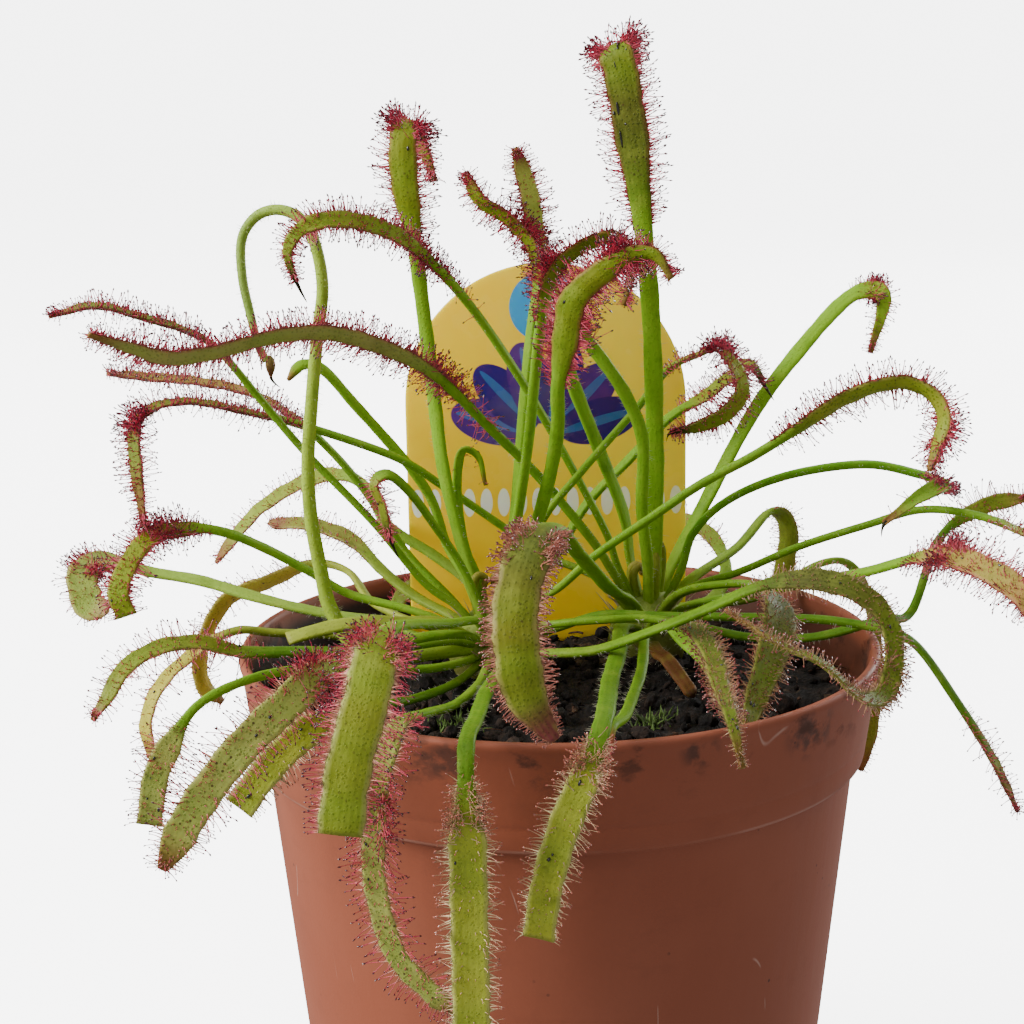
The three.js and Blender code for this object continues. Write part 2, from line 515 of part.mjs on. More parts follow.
// ---- crowns ---------------------------------------------------------------------------------
function crownStem(key, grow) {
  const { r, topZ, rootZ, rootR, sides } = CROWN;
  const [cx, cy] = CROWN_AT[key];
  const solid = lathe([
    [0, rootZ - grow], [0.6 * rootR + grow, rootZ - grow], [rootR + grow, SOIL.top - 6],
    [0.8 * r + grow, SOIL.top + 1], [r + grow, SOIL.top + 4], [0.9 * r + grow, topZ - 3],
    [0.5 * r + grow, topZ + grow], [0, topZ + 1 + grow],
  ], sides);
  return solid.translate([cx, cy, 0]);
}

// The ball round a crown in which the leaf bases belong to the crown itself.
function crownBall(key, grow) {
  const ball = new THREE.IcosahedronGeometry(CROWN.ballR + grow, 0);
  ball.translate(...CROWN_AT[key], CROWN.ballZ);
  return solidOf(ball);
}

// ---- flower stalk ---------------------------------------------------------------------------
function scapeLine() {
  const route = fullRoute({ crown: 'b', route: SCAPE_ROUTE });
  return stations(route, new THREE.Vector3(-1, 0, 0), 0, 27);
}

function stalk(line) {
  const rings = line.map(({ t, at, side, top }) => {
    const r = STALK.r * (1 - STALK.taper * t);
    return Array.from({ length: 5 }, (_, k) => {
      const turn = 2 * Math.PI * k / 5;
      return at.clone().addScaledVector(side, r * Math.cos(turn)).addScaledVector(top, r * Math.sin(turn));
    });
  });
  return loft(rings);
}

// The closed bud at the tip of the nodding end, sunk a little into the stalk.
function budAtTip(line) {
  const { at, along } = line.at(-1);
  const bud = new THREE.IcosahedronGeometry(BUD.r, 0);
  bud.scale(1, 1, BUD.long);
  const place = at.clone().addScaledVector(along, BUD.out * BUD.r * BUD.long);
  bud.translate(place.x, place.y, place.z);
  return solidOf(bud);
}

// ---- assembly -------------------------------------------------------------------------------
function build() {
  const group = new THREE.Group();
  group.name = 'potted_cape_sundew';
  group.add(node('pot', pot(), 'pot'));
  group.add(node('soil', soil(), 'soil'));
  group.add(node('plant_label', labelPlate(0), 'label'));
  const crowns = Object.fromEntries(Object.keys(CROWN_AT).map((key) => [key, crownStem(key, 0)]));
  const pair = (key) => [key, [crownBall(key, 0), crownBall(key, GAP)]];
  const balls = Object.fromEntries(Object.keys(CROWN_AT).map(pair));

  const line = scapeLine();
  const after = (i) => line[Math.min(i + 1, line.length - 1)].at;
  const scape = line.flatMap(({ at }, i) => [at, at.clone().lerp(after(i), 0.5)]);
  const stem = stalk(line);
  crowns.b = crowns.b.add(stem.intersect(balls.b[0]));
  const flower = stem.subtract(balls.b[1]).add(budAtTip(line));
  group.add(node('flower_scape', flower, 'scape'));

  const random = seeded(SEED + 1);
  const taken = midribs();
  Object.entries(LEAVES).forEach(([name, spec]) => {
    const path = leafStations(spec);
    const strap = ribbon(spec, path);
    const [inside, outside] = balls[spec.crown];
    crowns[spec.crown] = crowns[spec.crown].add(strap.intersect(inside));
    let solid = strap.subtract(outside);
    if (spec.start < 1) {
      needles(name, spec, path, taken, scape, random).forEach((spike) => {
        solid = solid.add(spike);
      });
    }
    group.add(node(name, solid, name === 'dead_leaf' ? 'brown' : 'leaf'));
  });
  Object.entries(crowns).forEach(([key, solid]) => group.add(node(`crown_${key}`, solid, 'crown')));
  return group;
}

export default build();
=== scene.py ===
"""Finishes and fine forms of a potted cape sundew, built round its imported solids.

Two rosettes of strap leaves set with sticky tentacles stand in a round plastic pot, with a
plant label behind them. Lengths in this file are millimetres unless a name says otherwise;
the origin is the centre of the pot's base, +Z is up and the front of the pot faces -Y.
"""

from __future__ import annotations

import logging
import math
from collections.abc import Mapping, Sequence
from dataclasses import dataclass, field
from enum import Enum
from typing import Any

import bpy
import numpy as np
from bpy.types import Material, Object
from mathutils import Matrix, Vector


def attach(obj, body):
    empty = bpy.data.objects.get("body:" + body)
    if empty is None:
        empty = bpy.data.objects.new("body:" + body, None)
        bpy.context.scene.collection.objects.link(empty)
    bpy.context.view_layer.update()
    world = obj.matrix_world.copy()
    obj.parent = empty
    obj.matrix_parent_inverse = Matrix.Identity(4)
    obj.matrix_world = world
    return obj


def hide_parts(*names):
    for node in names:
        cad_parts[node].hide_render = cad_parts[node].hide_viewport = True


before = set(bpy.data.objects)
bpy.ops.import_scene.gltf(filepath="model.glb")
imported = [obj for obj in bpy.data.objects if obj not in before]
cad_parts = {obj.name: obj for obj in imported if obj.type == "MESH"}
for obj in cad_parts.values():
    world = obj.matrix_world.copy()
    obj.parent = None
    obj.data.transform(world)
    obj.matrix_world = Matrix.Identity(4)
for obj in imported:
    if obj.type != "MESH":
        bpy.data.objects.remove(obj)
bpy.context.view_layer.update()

LOG = logging.getLogger("sundew")
MM = 0.001
BODY = "root"
UP = np.array([0.0, 0.0, 1.0])
CROWN_Z = 77.0  # the height at which the leaves leave their crowns

Array = np.ndarray
Colour = tuple[float, float, float]
Triple = tuple[float, float, float]
Sockets = Mapping[str | int, Any]

WHITE: Colour = (1.0, 1.0, 1.0)
BLACK: Colour = (0.010, 0.007, 0.006)
EVEN: Triple = (1.0, 1.0, 1.0)


# ---- shader graphs ----


class Value:
    """A shader socket that can stand in a Python expression."""

    def __init__(self, graph: Graph, socket: bpy.types.NodeSocket) -> None:
        """Keep the socket and the graph it belongs to."""
        self.graph = graph
        self.socket = socket

    def math(self, operation: str, *others: Value | float) -> Value:
        """Feed this value and others to one Math node."""
        inputs = dict(enumerate((self, *others)))
        return self.graph.read("ShaderNodeMath", 0, {"operation": operation}, inputs)

    def __add__(self, other: Value | float) -> Value:
        """This plus other."""
        return self.math("ADD", other)

    __radd__ = __add__

    def __mul__(self, other: Value | float) -> Value:
        """This times other."""
        return self.math("MULTIPLY", other)

    __rmul__ = __mul__

    def __sub__(self, other: Value | float) -> Value:
        """This minus other."""
        return self.math("SUBTRACT", other)

    def __rsub__(self, other: float) -> Value:
        """Other minus this."""
        return self * -1.0 + other

    def __truediv__(self, other: float) -> Value:
        """This divided by a number."""
        return self * (1.0 / other)

    def __pow__(self, power: float) -> Value:
        """This to a power."""
        return self.math("POWER", power)

    def __lt__(self, other: Value | float) -> Value:
        """1 where this is less than other."""
        return self.math("LESS_THAN", other)

    def __gt__(self, other: Value | float) -> Value:
        """1 where this is greater than other."""
        return self.math("GREATER_THAN", other)

    def step(self, low: float, high: float) -> Value:
        """A smooth step from 0 at low to 1 at high.

        Args:
            low: where the step begins.
            high: where it ends; it may be less than low.

        Returns:
            The stepped value.
        """
        settings = {"interpolation_type": "SMOOTHSTEP", "clamp": True}
        inputs: dict[str | int, Any] = {0: self, 1: low, 2: high}
        if low >= high:
            inputs = {0: self, 1: high, 2: low, 3: 1.0, 4: 0.0}
        return self.graph.read("ShaderNodeMapRange", 0, settings, inputs)


class Graph:
    """The node graph of one material, ending in a Principled shader."""

    def __init__(self, name: str, constants: Mapping[str, Any]) -> None:
        """Make an empty material.

        Args:
            name: the material's name.
            constants: Principled sockets that are the same all over the surface.
        """
        self.material = bpy.data.materials.new(name)
        self.material.use_nodes = True
        self.tree = self.material.node_tree
        self.tree.nodes.clear()
        self.shader = self.add("ShaderNodeBsdfPrincipled", {}, constants)
        self.add("ShaderNodeOutputMaterial", {}, {"Surface": Value(self, self.shader.outputs[0])})

    def add(self, kind: str, settings: Mapping[str, Any], inputs: Sockets) -> bpy.types.Node:
        """Add a node.

        Args:
            kind: the node's type.
            settings: its own properties, which are set first.
            inputs: values or links for its sockets, by name or number.

        Returns:
            The new node.
        """
        node = self.tree.nodes.new(kind)
        for key, setting in settings.items():
            setattr(node, key, setting)
        for key, value in inputs.items():
            self.plug(node.inputs[key], value)
        return node

    def plug(self, socket: bpy.types.NodeSocket, value: Any) -> None:
        """Give an input socket a link, a number or a colour.

        Args:
            socket: the input.
            value: a Value to link, or a constant.
        """
        if isinstance(value, Value):
            self.tree.links.new(value.socket, socket)
        elif isinstance(value, tuple) and socket.type == "RGBA":
            socket.default_value = (*value, 1.0)
        else:
            socket.default_value = value

    def read(
        self, kind: str, output: str | int, settings: Mapping[str, Any], inputs: Sockets
    ) -> Value:
        """Add a node and read one of its outputs."""
        return Value(self, self.add(kind, settings, inputs).outputs[output])

    def place(self) -> Value:
        """The point's place on the object, in metres."""
        return self.read("ShaderNodeTexCoord", "Object", {}, {})

    def axes(self) -> tuple[Value, Value, Value]:
        """The point's place split into its three axes, in millimetres."""
        split = self.add("ShaderNodeSeparateXYZ", {}, {0: self.place()})
        return tuple(Value(self, split.outputs[k]) / MM for k in range(3))

    def attribute(self, name: str, output: str = "Fac") -> Value:
        """A value painted on the mesh's points."""
        return self.read("ShaderNodeAttribute", output, {"attribute_name": name}, {})

    def noise(
        self, size: float, detail: float = 3.0, stretch: Triple = EVEN, roughness: float = 0.5
    ) -> Value:
        """Cloudy noise.

        Args:
            size: the width of its lumps in millimetres.
            detail: how many finer layers it has.
            stretch: how much longer the lumps are along each axis.
            roughness: how strong the finer layers are.

        Returns:
            Noise from 0 to 1.
        """
        at = self.place()
        if stretch != EVEN:
            shrink = tuple(1.0 / s for s in stretch)
            at = self.read("ShaderNodeVectorMath", 0, {"operation": "MULTIPLY"}, {0: at, 1: shrink})
        scale = 1.0 / (size * MM)
        inputs = {"Vector": at, "Scale": scale, "Detail": detail, "Roughness": roughness}
        return self.read("ShaderNodeTexNoise", "Fac", {}, inputs)

    def cells(self, size: float, randomness: float = 1.0, feature: str = "F1") -> Value:
        """Distance to the nearest of many scattered points."""
        inputs = {"Vector": self.place(), "Scale": 1.0 / (size * MM), "Randomness": randomness}
        return self.read("ShaderNodeTexVoronoi", "Distance", {"feature": feature}, inputs)

    def mix(
        self, factor: Value | float, first: Value | Colour, second: Value | Colour,
        blend: str = "MIX",
    ) -> Value:
        """Mix two colours."""
        settings = {"data_type": "RGBA", "blend_type": blend}
        return self.read("ShaderNodeMix", 2, settings, {0: factor, 6: first, 7: second})

    def bump(self, height: Value, depth: float, below: Value | None = None) -> Value:
        """A bump from a height between 0 and 1.

        Args:
            height: the height.
            depth: how deep a step from 0 to 1 is, in millimetres.
            below: a coarser bump that this one lies on.

        Returns:
            A normal for the shader.
        """
        inputs: dict[str | int, Any] = {"Height": height, "Distance": depth * MM, "Strength": 1.0}
        if below is not None:
            inputs["Normal"] = below
        return self.read("ShaderNodeBump", 0, {}, inputs)

    def finish(self, **sockets: Value | float | Colour) -> Material:
        """Plug the shader's sockets and give the material.

        Args:
            sockets: values by socket name, with an underscore for a space.

        Returns:
            The finished material.
        """
        for key, value in sockets.items():
            self.plug(self.shader.inputs[key.replace("_", " ")], value)
        return self.material


@dataclass(frozen=True)
class PotPlastic:
    """Satin terracotta-brown plastic, dusty and a little scratched, with painted shade and
    highlights.
    """

    base: Colour = (0.29, 0.080, 0.040)
    pale: Colour = (0.34, 0.105, 0.058)
    dirt: Colour = (0.085, 0.035, 0.024)
    # also used for the painted highlight along the collar seam
    scratch: Colour = (0.62, 0.40, 0.33)
    # near-black colour of the painted shade and dust inside the pot
    inner_shade_dust: Colour = (0.020, 0.012, 0.009)
    stains: tuple[Triple, ...] = ((-14.5, 77.3, 4.0), (16.0, 77.8, 3.2), (31.0, 76.5, 4.5))
    seam_z: float = 65.4
    rim_z: float = 80.0
    rim_r: float = 45.0
    wall: float = 0.7
    slope: float = 0.19

    def material(self) -> Material:
        """Build the plastic.

        Returns:
            The material.
        """
        g = Graph("pot_plastic", {"IOR": 1.46, "Specular IOR Level": 0.28})
        x, y, z = g.axes()
        cloud = g.noise(26.0, 4.0)
        colour = g.mix(cloud.step(0.35, 0.7) * 0.5, self.base, self.pale)
        mould = g.noise(1.6, 2.0, (1.0, 1.0, 14.0))
        colour = g.mix(mould.step(0.45, 0.8) * 0.12, colour, self.pale)
        under_rim = z.step(self.rim_z - 9.0, self.rim_z - 2.0)
        streak = g.noise(7.0, 5.0, (1.0, 1.0, 0.6), 0.65).step(0.53, 0.66)
        smudge = streak * (under_rim * 0.9 + 0.06)
        colour = g.mix(smudge * 0.85, colour, self.dirt)
        speck = g.cells(3.6).step(0.085, 0.045) * g.noise(9.0, 1.0).step(0.5, 0.6)
        colour = g.mix(speck * 0.8, colour, self.dirt)
        blot = g.noise(2.6, 4.0).step(0.42, 0.58) * y.step(0.0, -5.0)
        for at_x, at_z, size in self.stains:
            near = ((x - at_x) ** 2.0 + (z - at_z) ** 2.0).math("SQRT").step(size, size * 0.3)
            colour = g.mix(near * blot * 0.85, colour, self.dirt)
        line = g.noise(34.0, 2.0, (1.0, 1.0, 5.0)).math("PINGPONG", 0.035).step(0.0011, 0.0)
        broken = g.noise(12.0, 2.0).step(0.6, 0.66)
        scratch = line * broken
        colour = g.mix(scratch * 0.5, colour, self.scratch)
        # Painted highlight: a paler line in the scratch colour along the collar seam.
        seam = (z - self.seam_z).math("ABSOLUTE").step(0.32, 0.05)
        colour = g.mix(seam * g.noise(9.0, 2.0).step(0.3, 0.6) * 0.22, colour, self.scratch)
        # Painted shade with soil dust: below the rim the inside wall is darkened in patches towards
        # near black, most on the left side, which faces away from the key light.
        behind = self.rim_r - self.wall - self.rim_z * self.slope
        inside = (x ** 2.0 + y ** 2.0).math("SQRT") - z * self.slope < behind
        shadow = x.step(38.0, 5.0) * 0.35 + 0.62
        inner_dust_and_shade = inside * shadow * z.step(self.rim_z - 0.8, self.rim_z - 3.5)
        colour = g.mix(inner_dust_and_shade * g.noise(5.0, 4.0).step(0.15, 0.45), colour, self.inner_shade_dust)
        # Painted highlight: the top of the rim is painted paler, as a lit edge.
        lip = z.step(self.rim_z - 0.8, self.rim_z - 0.15)
        colour = g.mix(lip * 0.45, colour, self.pale)
        rough = 0.40 + 0.18 * cloud + 0.25 * smudge + 0.10 * mould
        fine = g.bump(g.noise(0.35, 2.0), 0.012)
        wavy = g.bump(g.noise(15.0, 2.0) + mould * 0.15, 0.10, fine)
        marked = g.bump(scratch * -1.0 + smudge * 0.3, 0.03, wavy)
        return g.finish(Base_Color=colour, Roughness=rough, Normal=marked)


@dataclass(frozen=True)
class SoilMix:
    """Dark peat and bark, damp in the hollows."""

    dark: Colour = (0.006, 0.004, 0.003)
    brown: Colour = (0.036, 0.021, 0.013)
    fibre: Colour = (0.16, 0.10, 0.055)

    def material(self) -> Material:
        """Build the mix.

        Returns:
            The material.
        """
        g = Graph("soil_mix", {"Specular IOR Level": 0.35})
        lump = g.noise(2.2, 5.0, roughness=0.62)
        grain = g.cells(0.7)
        colour = g.mix(lump.step(0.42, 0.72), self.dark, self.brown)
        colour = g.mix(1.0, colour, g.attribute("tint", "Color"), "MULTIPLY")
        thread = g.noise(5.0, 3.0, (4.0, 0.4, 0.4)).step(0.64, 0.68)
        colour = g.mix(thread * 0.5, colour, self.fibre)
        rough = 0.72 + 0.25 * lump
        rise = g.bump(lump, 0.9)
        grit = g.bump(grain, 0.25, rise)
        return g.finish(Base_Color=colour, Roughness=rough, Normal=grit)


@dataclass(frozen=True)
class LabelPrint:
    """Yellow plastic with a printed fan of petals under a ring and over a row of drops."""

    ground: Colour = (0.98, 0.58, 0.012)
    # paler yellow for the painted light on the label's right side
    light: Colour = (1.0, 0.70, 0.090)
    deep: Colour = (0.022, 0.010, 0.20)
    violet: Colour = (0.07, 0.020, 0.26)
    sky: Colour = (0.03, 0.34, 0.74)
    white: Colour = (0.85, 0.88, 0.88)
    back: Colour = (0.78, 0.60, 0.30)
    centre_x: float = -1.0
    heart_z: float = 105.0
    front_y: float = 22.0
    fan: tuple[float, ...] = (-74.0, -44.0, -15.0, 15.0, 44.0, 74.0)
    ring_z: float = 124.5
    ring_r: float = 3.7
    drops_z: float = 95.0
    drops_apart: float = 2.6

    def petal(self, x: Value, z: Value, turn: float, reach: float, wide: float) -> Value:
        """A pointed oval leaning away from the fan's heart.

        Args:
            x: the point's place across the label.
            z: its height above the heart.
            turn: the petal's lean from upright, in degrees.
            reach: how far the petal's middle is from the heart.
            wide: the petal's half width.

        Returns:
            1 inside the petal.
        """
        c, s = math.cos(math.radians(turn)), math.sin(math.radians(turn))
        across = x * c - z * s
        along = (x * s + z * c - reach) / (0.75 * reach)
        edge = (across / wide) ** 2.0 + along ** 2.0
        return edge.step(1.04, 0.96)

    def material(self) -> Material:
        """Build the printed plastic.

        Returns:
            The material.
        """
        constants = {
            "Coat Weight": 0.04, "Coat Roughness": 0.2, "Specular IOR Level": 0.2,
            "Subsurface Weight": 0.7, "Subsurface Radius": (1.0, 0.75, 0.15),
            "Subsurface Scale": 0.003,
        }
        g = Graph("label_print", constants)
        across, deep, high = g.axes()
        x = across - self.centre_x
        z = high - self.heart_z
        # Painted light: the yellow grows paler towards the label's right side, where it stands for
        # brighter light.
        colour = g.mix(across.step(-14.0, 14.0) * 0.7, self.ground, self.light)
        for k, turn in enumerate(self.fan):
            shade = self.deep if k % 2 else self.violet
            tone = g.mix(g.noise(6.0, 2.0).step(0.35, 0.7) * 0.5, shade, self.deep)
            colour = g.mix(self.petal(x, z, turn, 8.4, 3.3), colour, tone)
            colour = g.mix(self.petal(x, z, turn, 8.0, 0.7) * 0.35, colour, self.sky)
        from_ring = (x ** 2.0 + (high - self.ring_z) ** 2.0).math("SQRT") - self.ring_r
        colour = g.mix(from_ring.math("ABSOLUTE").step(1.6, 1.45), colour, self.sky)
        aside = x.math("PINGPONG", self.drops_apart) - self.drops_apart / 2.0
        drops = (aside ** 2.0 + ((high - self.drops_z) * 0.42) ** 2.0).math("SQRT")
        colour = g.mix(drops.step(0.95, 0.85), colour, self.white)
        front = deep.step(self.front_y, self.front_y - 0.2)
        colour = g.mix(front, self.back, colour)
        dust = g.noise(9.0, 5.0).step(0.52, 0.75)
        colour = g.mix(dust * 0.04, colour, self.white)
        rough = 0.24 + 0.22 * dust
        normal = g.bump(g.noise(11.0, 2.0), 0.12, g.bump(g.noise(0.4, 1.0), 0.008))
        return g.finish(Base_Color=colour, Roughness=rough, Normal=normal)


@dataclass(frozen=True)
class LeafSkin:
    """Waxy leaf skin: the painted tint with mottling, fine dots and lengthwise veins."""

    name: str = "leaf_skin"
    dot: Colour = (0.055, 0.012, 0.012)
    bright: Colour = (0.45, 0.52, 0.07)
    dim: Colour = (0.50, 0.58, 0.40)
    subsurface: float = 0.22

    def material(self) -> Material:
        """Build the skin.

        Returns:
            The material.
        """
        constants = {
            "Subsurface Weight": self.subsurface, "Subsurface Radius": (0.9, 1.0, 0.35),
            "Subsurface Scale": 0.0009, "Specular IOR Level": 0.16, "IOR": 1.42,
        }
        g = Graph(self.name, constants)
        tint = g.attribute("tint", "Color")
        spots = g.attribute("spots")
        mottle = g.noise(2.4, 4.0)
        shade = g.mix(1.0, tint, self.dim, "MULTIPLY")
        colour = g.mix(mottle.step(0.5, 0.72) * 0.18, tint, self.bright)
        colour = g.mix(mottle.step(0.5, 0.2) * 0.6, colour, shade)
        pores = g.cells(0.45).step(0.38, 0.22)
        colour = g.mix(pores * (spots * 0.7 + 0.2), colour, shade)
        big = g.cells(0.85).step(0.24, 0.16) * g.noise(3.0, 1.0).step(0.42, 0.58)
        colour = g.mix(big * spots * 0.85, colour, self.dot)
        vein = (g.attribute("across") * 9.0).math("SINE") * 0.5 + 0.5
        colour = g.mix(vein * 0.05, colour, self.bright)
        rough = 0.36 + 0.22 * mottle + 0.12 * pores
        lines = g.bump(vein, 0.012)
        skin = g.bump(g.noise(0.5, 3.0) + pores * 0.6, 0.05, lines)
        return g.finish(Base_Color=colour, Roughness=rough, Normal=skin)


@dataclass(frozen=True)
class TintedFinish:
    """A finish for fine parts whose colour is painted on their points."""

    name: str
    roughness: float
    vary: float = 0.15
    lump: float = 0.3
    depth: float = 0.02
    coat: float = 0.0

    def material(self) -> Material:
        """Build the finish.

        Returns:
            The material.
        """
        g = Graph(self.name, {"Coat Weight": self.coat, "Coat Roughness": 0.08})
        tint = g.attribute("tint", "Color")
        cloud = g.noise(self.lump * 3.0, 3.0)
        tone = g.mix(1.0, tint, tint, "MULTIPLY")
        colour = g.mix(cloud * self.vary * 2.0, tint, tone)
        rough = cloud * 0.2 + (self.roughness - 0.1)
        lumps = g.bump(g.noise(self.lump), self.depth)
        return g.finish(Base_Color=colour, Roughness=rough, Normal=lumps)


@dataclass(frozen=True)
class FloorFinish:
    """Plain pale studio paper, lit from behind as well."""

    colour: Colour = (0.90, 0.90, 0.90)
    glow: float = 6.0

    def material(self) -> Material:
        """Build the paper.

        Returns:
            The material.
        """
        g = Graph("studio_floor", {"Specular IOR Level": 0.0, "Emission Strength": self.glow})
        cloud = g.noise(180.0, 2.0)
        shade = tuple(0.97 * c for c in self.colour)
        colour = g.mix(cloud, shade, self.colour)
        rough = 0.85 + 0.05 * cloud
        return g.finish(Base_Color=colour, Roughness=rough, Emission_Color=shade)


# ---- mesh making ----


class Skin(Enum):
    """The finishes that a plant piece is dressed in, by material slot."""

    LEAF = 0
    TENTACLE = 1
    BEAD = 2
    HAIR = 3


def unit(vectors: Array) -> Array:
    """Vectors scaled to length 1."""
    return vectors / np.maximum(np.linalg.norm(vectors, axis=-1, keepdims=True), 1e-9)


def smooth(low: float, high: float, at: Array) -> Array:
    """A smooth step from 0 at low to 1 at high."""
    part = np.clip((at - low) / (high - low), 0.0, 1.0)
    return part * part * (3.0 - 2.0 * part)


def turns(count: int) -> Array:
    """Angles spread evenly round one full turn."""
    return 2.0 * math.pi * np.arange(count) / count


def circle(r: float, z: float, turn: Array) -> Array:
    """Points at one radius and height, at the given angles."""
    return np.stack([r * np.cos(turn), r * np.sin(turn), np.full(len(turn), z)], axis=1)


def lumpy(points: Array, rng: np.random.Generator) -> Array:
    """A ball's points pushed in and out at random."""
    return points * (1.0 + 0.5 * (rng.random((len(points), 1)) - 0.5))


def shaded(low: Colour, high: Colour, part: Array) -> Array:
    """Two colours mixed by a column of parts."""
    return np.array(low) * (1.0 - part) + np.array(high) * part


def painted(colour: Colour, shade: Array, rings: int) -> Array:
    """One colour in a shade for each spike, repeated for each of its rings."""
    return np.broadcast_to(np.array(colour), (len(shade), rings, 3)) * shade


def grid_faces(rows: int, columns: int, closed: bool) -> Array:
    """Four-sided faces between rows of points.

    Args:
        rows: how many rows of points there are.
        columns: how many points a row holds.
        closed: whether each row joins up into a ring.

    Returns:
        The faces, as rows of four point numbers.
    """
    across = columns if closed else columns - 1
    i, j = np.meshgrid(np.arange(rows - 1), np.arange(across), indexing="ij")
    a = (i * columns + j).ravel()
    b = (i * columns + (j + 1) % columns).ravel()
    return np.stack([a, b, b + columns, a + columns], axis=1)


def fan_faces(ring: Sequence[int], centre: int, flip: bool = False) -> Array:
    """Three-sided faces from a ring of points to one centre.

    Args:
        ring: the ring's point numbers.
        centre: the centre's point number.
        flip: whether the faces look the other way.

    Returns:
        The faces, as rows of three point numbers.
    """
    here = np.asarray(ring)
    after = np.roll(here, -1)
    middle = np.full(len(here), centre)
    return np.stack([after, here, middle] if flip else [here, after, middle], axis=1)


def tube_faces(rows: int, ring: int) -> list[Array]:
    """Faces of a closed tube whose points end in the middles of its two ends.

    Args:
        rows: how many rings of points there are.
        ring: how many points a ring holds.

    Returns:
        The faces of the sides and of both ends.
    """
    last = np.arange((rows - 1) * ring, rows * ring)
    ends = [fan_faces(np.arange(ring), rows * ring, True), fan_faces(last, rows * ring + 1)]
    return [grid_faces(rows, ring, True), *ends]


@dataclass
class Mesh:
    """Points, faces and painted values gathered for one piece, in millimetres."""

    points: list[Array] = field(default_factory=list)
    tints: list[Array] = field(default_factory=list)
    values: list[Array] = field(default_factory=list)
    faces: list[tuple[Array, int]] = field(default_factory=list)
    count: int = 0

    def add(
        self, points: Array, faces: Sequence[Array], slot: int, tint: Array | Colour,
        spots: Array | float = 0.0, across: Array | float = 0.0,
    ) -> None:
        """Add points and the faces between them.

        Args:
            points: rows of x, y and z.
            faces: arrays of faces that number these points from 0.
            slot: the material slot that the faces take.
            tint: one colour, or one for each point.
            spots: how spotted the surface is, at each point or all over.
            across: how far each point is from the midrib.
        """
        points = np.asarray(points, float).reshape(-1, 3)
        n = len(points)
        self.points.append(points)
        self.tints.append(np.broadcast_to(np.asarray(tint, float).reshape(-1, 3), (n, 3)))
        pair = [np.broadcast_to(np.asarray(v, float).ravel(), (n,)) for v in (spots, across)]
        self.values.append(np.stack(pair, axis=1))
        self.faces.extend((np.asarray(f) + self.count, slot) for f in faces)
        self.count += n

    def build(self, name: str, materials: Sequence[Material]) -> Object:
        """Make the Blender object.

        Args:
            name: its name.
            materials: the materials of its slots.

        Returns:
            The object, riding on the part's body.
        """
        mesh = bpy.data.meshes.new(name)
        points = np.concatenate(self.points) * MM
        loops = np.concatenate([f.ravel() for f, _ in self.faces])
        sizes = np.concatenate([np.full(len(f), f.shape[1]) for f, _ in self.faces])
        slots = np.concatenate([np.full(len(f), slot) for f, slot in self.faces])
        mesh.vertices.add(len(points))
        mesh.vertices.foreach_set("co", points.ravel())
        mesh.loops.add(len(loops))
        mesh.loops.foreach_set("vertex_index", loops.astype(np.int32))
        mesh.polygons.add(len(sizes))
        starts = np.concatenate([[0], np.cumsum(sizes)[:-1]])
        mesh.polygons.foreach_set("loop_start", starts.astype(np.int32))
        mesh.polygons.foreach_set("material_index", slots.astype(np.int32))
        mesh.polygons.foreach_set("use_smooth", np.ones(len(sizes), bool))
        mesh.update(calc_edges=True)
        mesh.validate()
        tint = mesh.attributes.new("tint", "FLOAT_COLOR", "POINT")
        colours = np.concatenate(self.tints)
        tint.data.foreach_set("color", np.hstack([colours, np.ones((len(colours), 1))]).ravel())
        for k, key in enumerate(("spots", "across")):
            layer = mesh.attributes.new(key, "FLOAT", "POINT")
            layer.data.foreach_set("value", np.concatenate(self.values)[:, k].copy())
        for material in materials:
            mesh.materials.append(material)
        piece = bpy.data.objects.new(name, mesh)
        bpy.context.scene.collection.objects.link(piece)
        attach(piece, BODY)
        return piece


class Growth:
    """Something that grows in one mesh, from its own stream of random numbers."""

    mesh: Mesh
    rng: np.random.Generator

    def begin(self, seed: int) -> None:
        """Start an empty mesh and the stream of random numbers."""
        self.mesh = Mesh()
        self.rng = np.random.default_rng(seed)


def dress(piece: Object, slot: str, *nodes: str) -> Object:
    """Hide the solids that a piece stands for, and report its face count.

    Args:
        piece: the piece.
        slot: a material slot's name; it is not used.
        nodes: the solids that it replaces.

    Returns:
        The same piece.
    """
    if nodes:
        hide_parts(*nodes)
    LOG.info("%s: %d faces", piece.name, len(piece.data.polygons))
    return piece


def lathe(profile: Sequence[tuple[float, float]], sides: int) -> tuple[Array, Array]:
    """Points and faces of a profile turned about the Z axis."""
    rows = [circle(r, z, turns(sides)) for r, z in profile]
    return np.concatenate(rows), grid_faces(len(profile), sides, True)


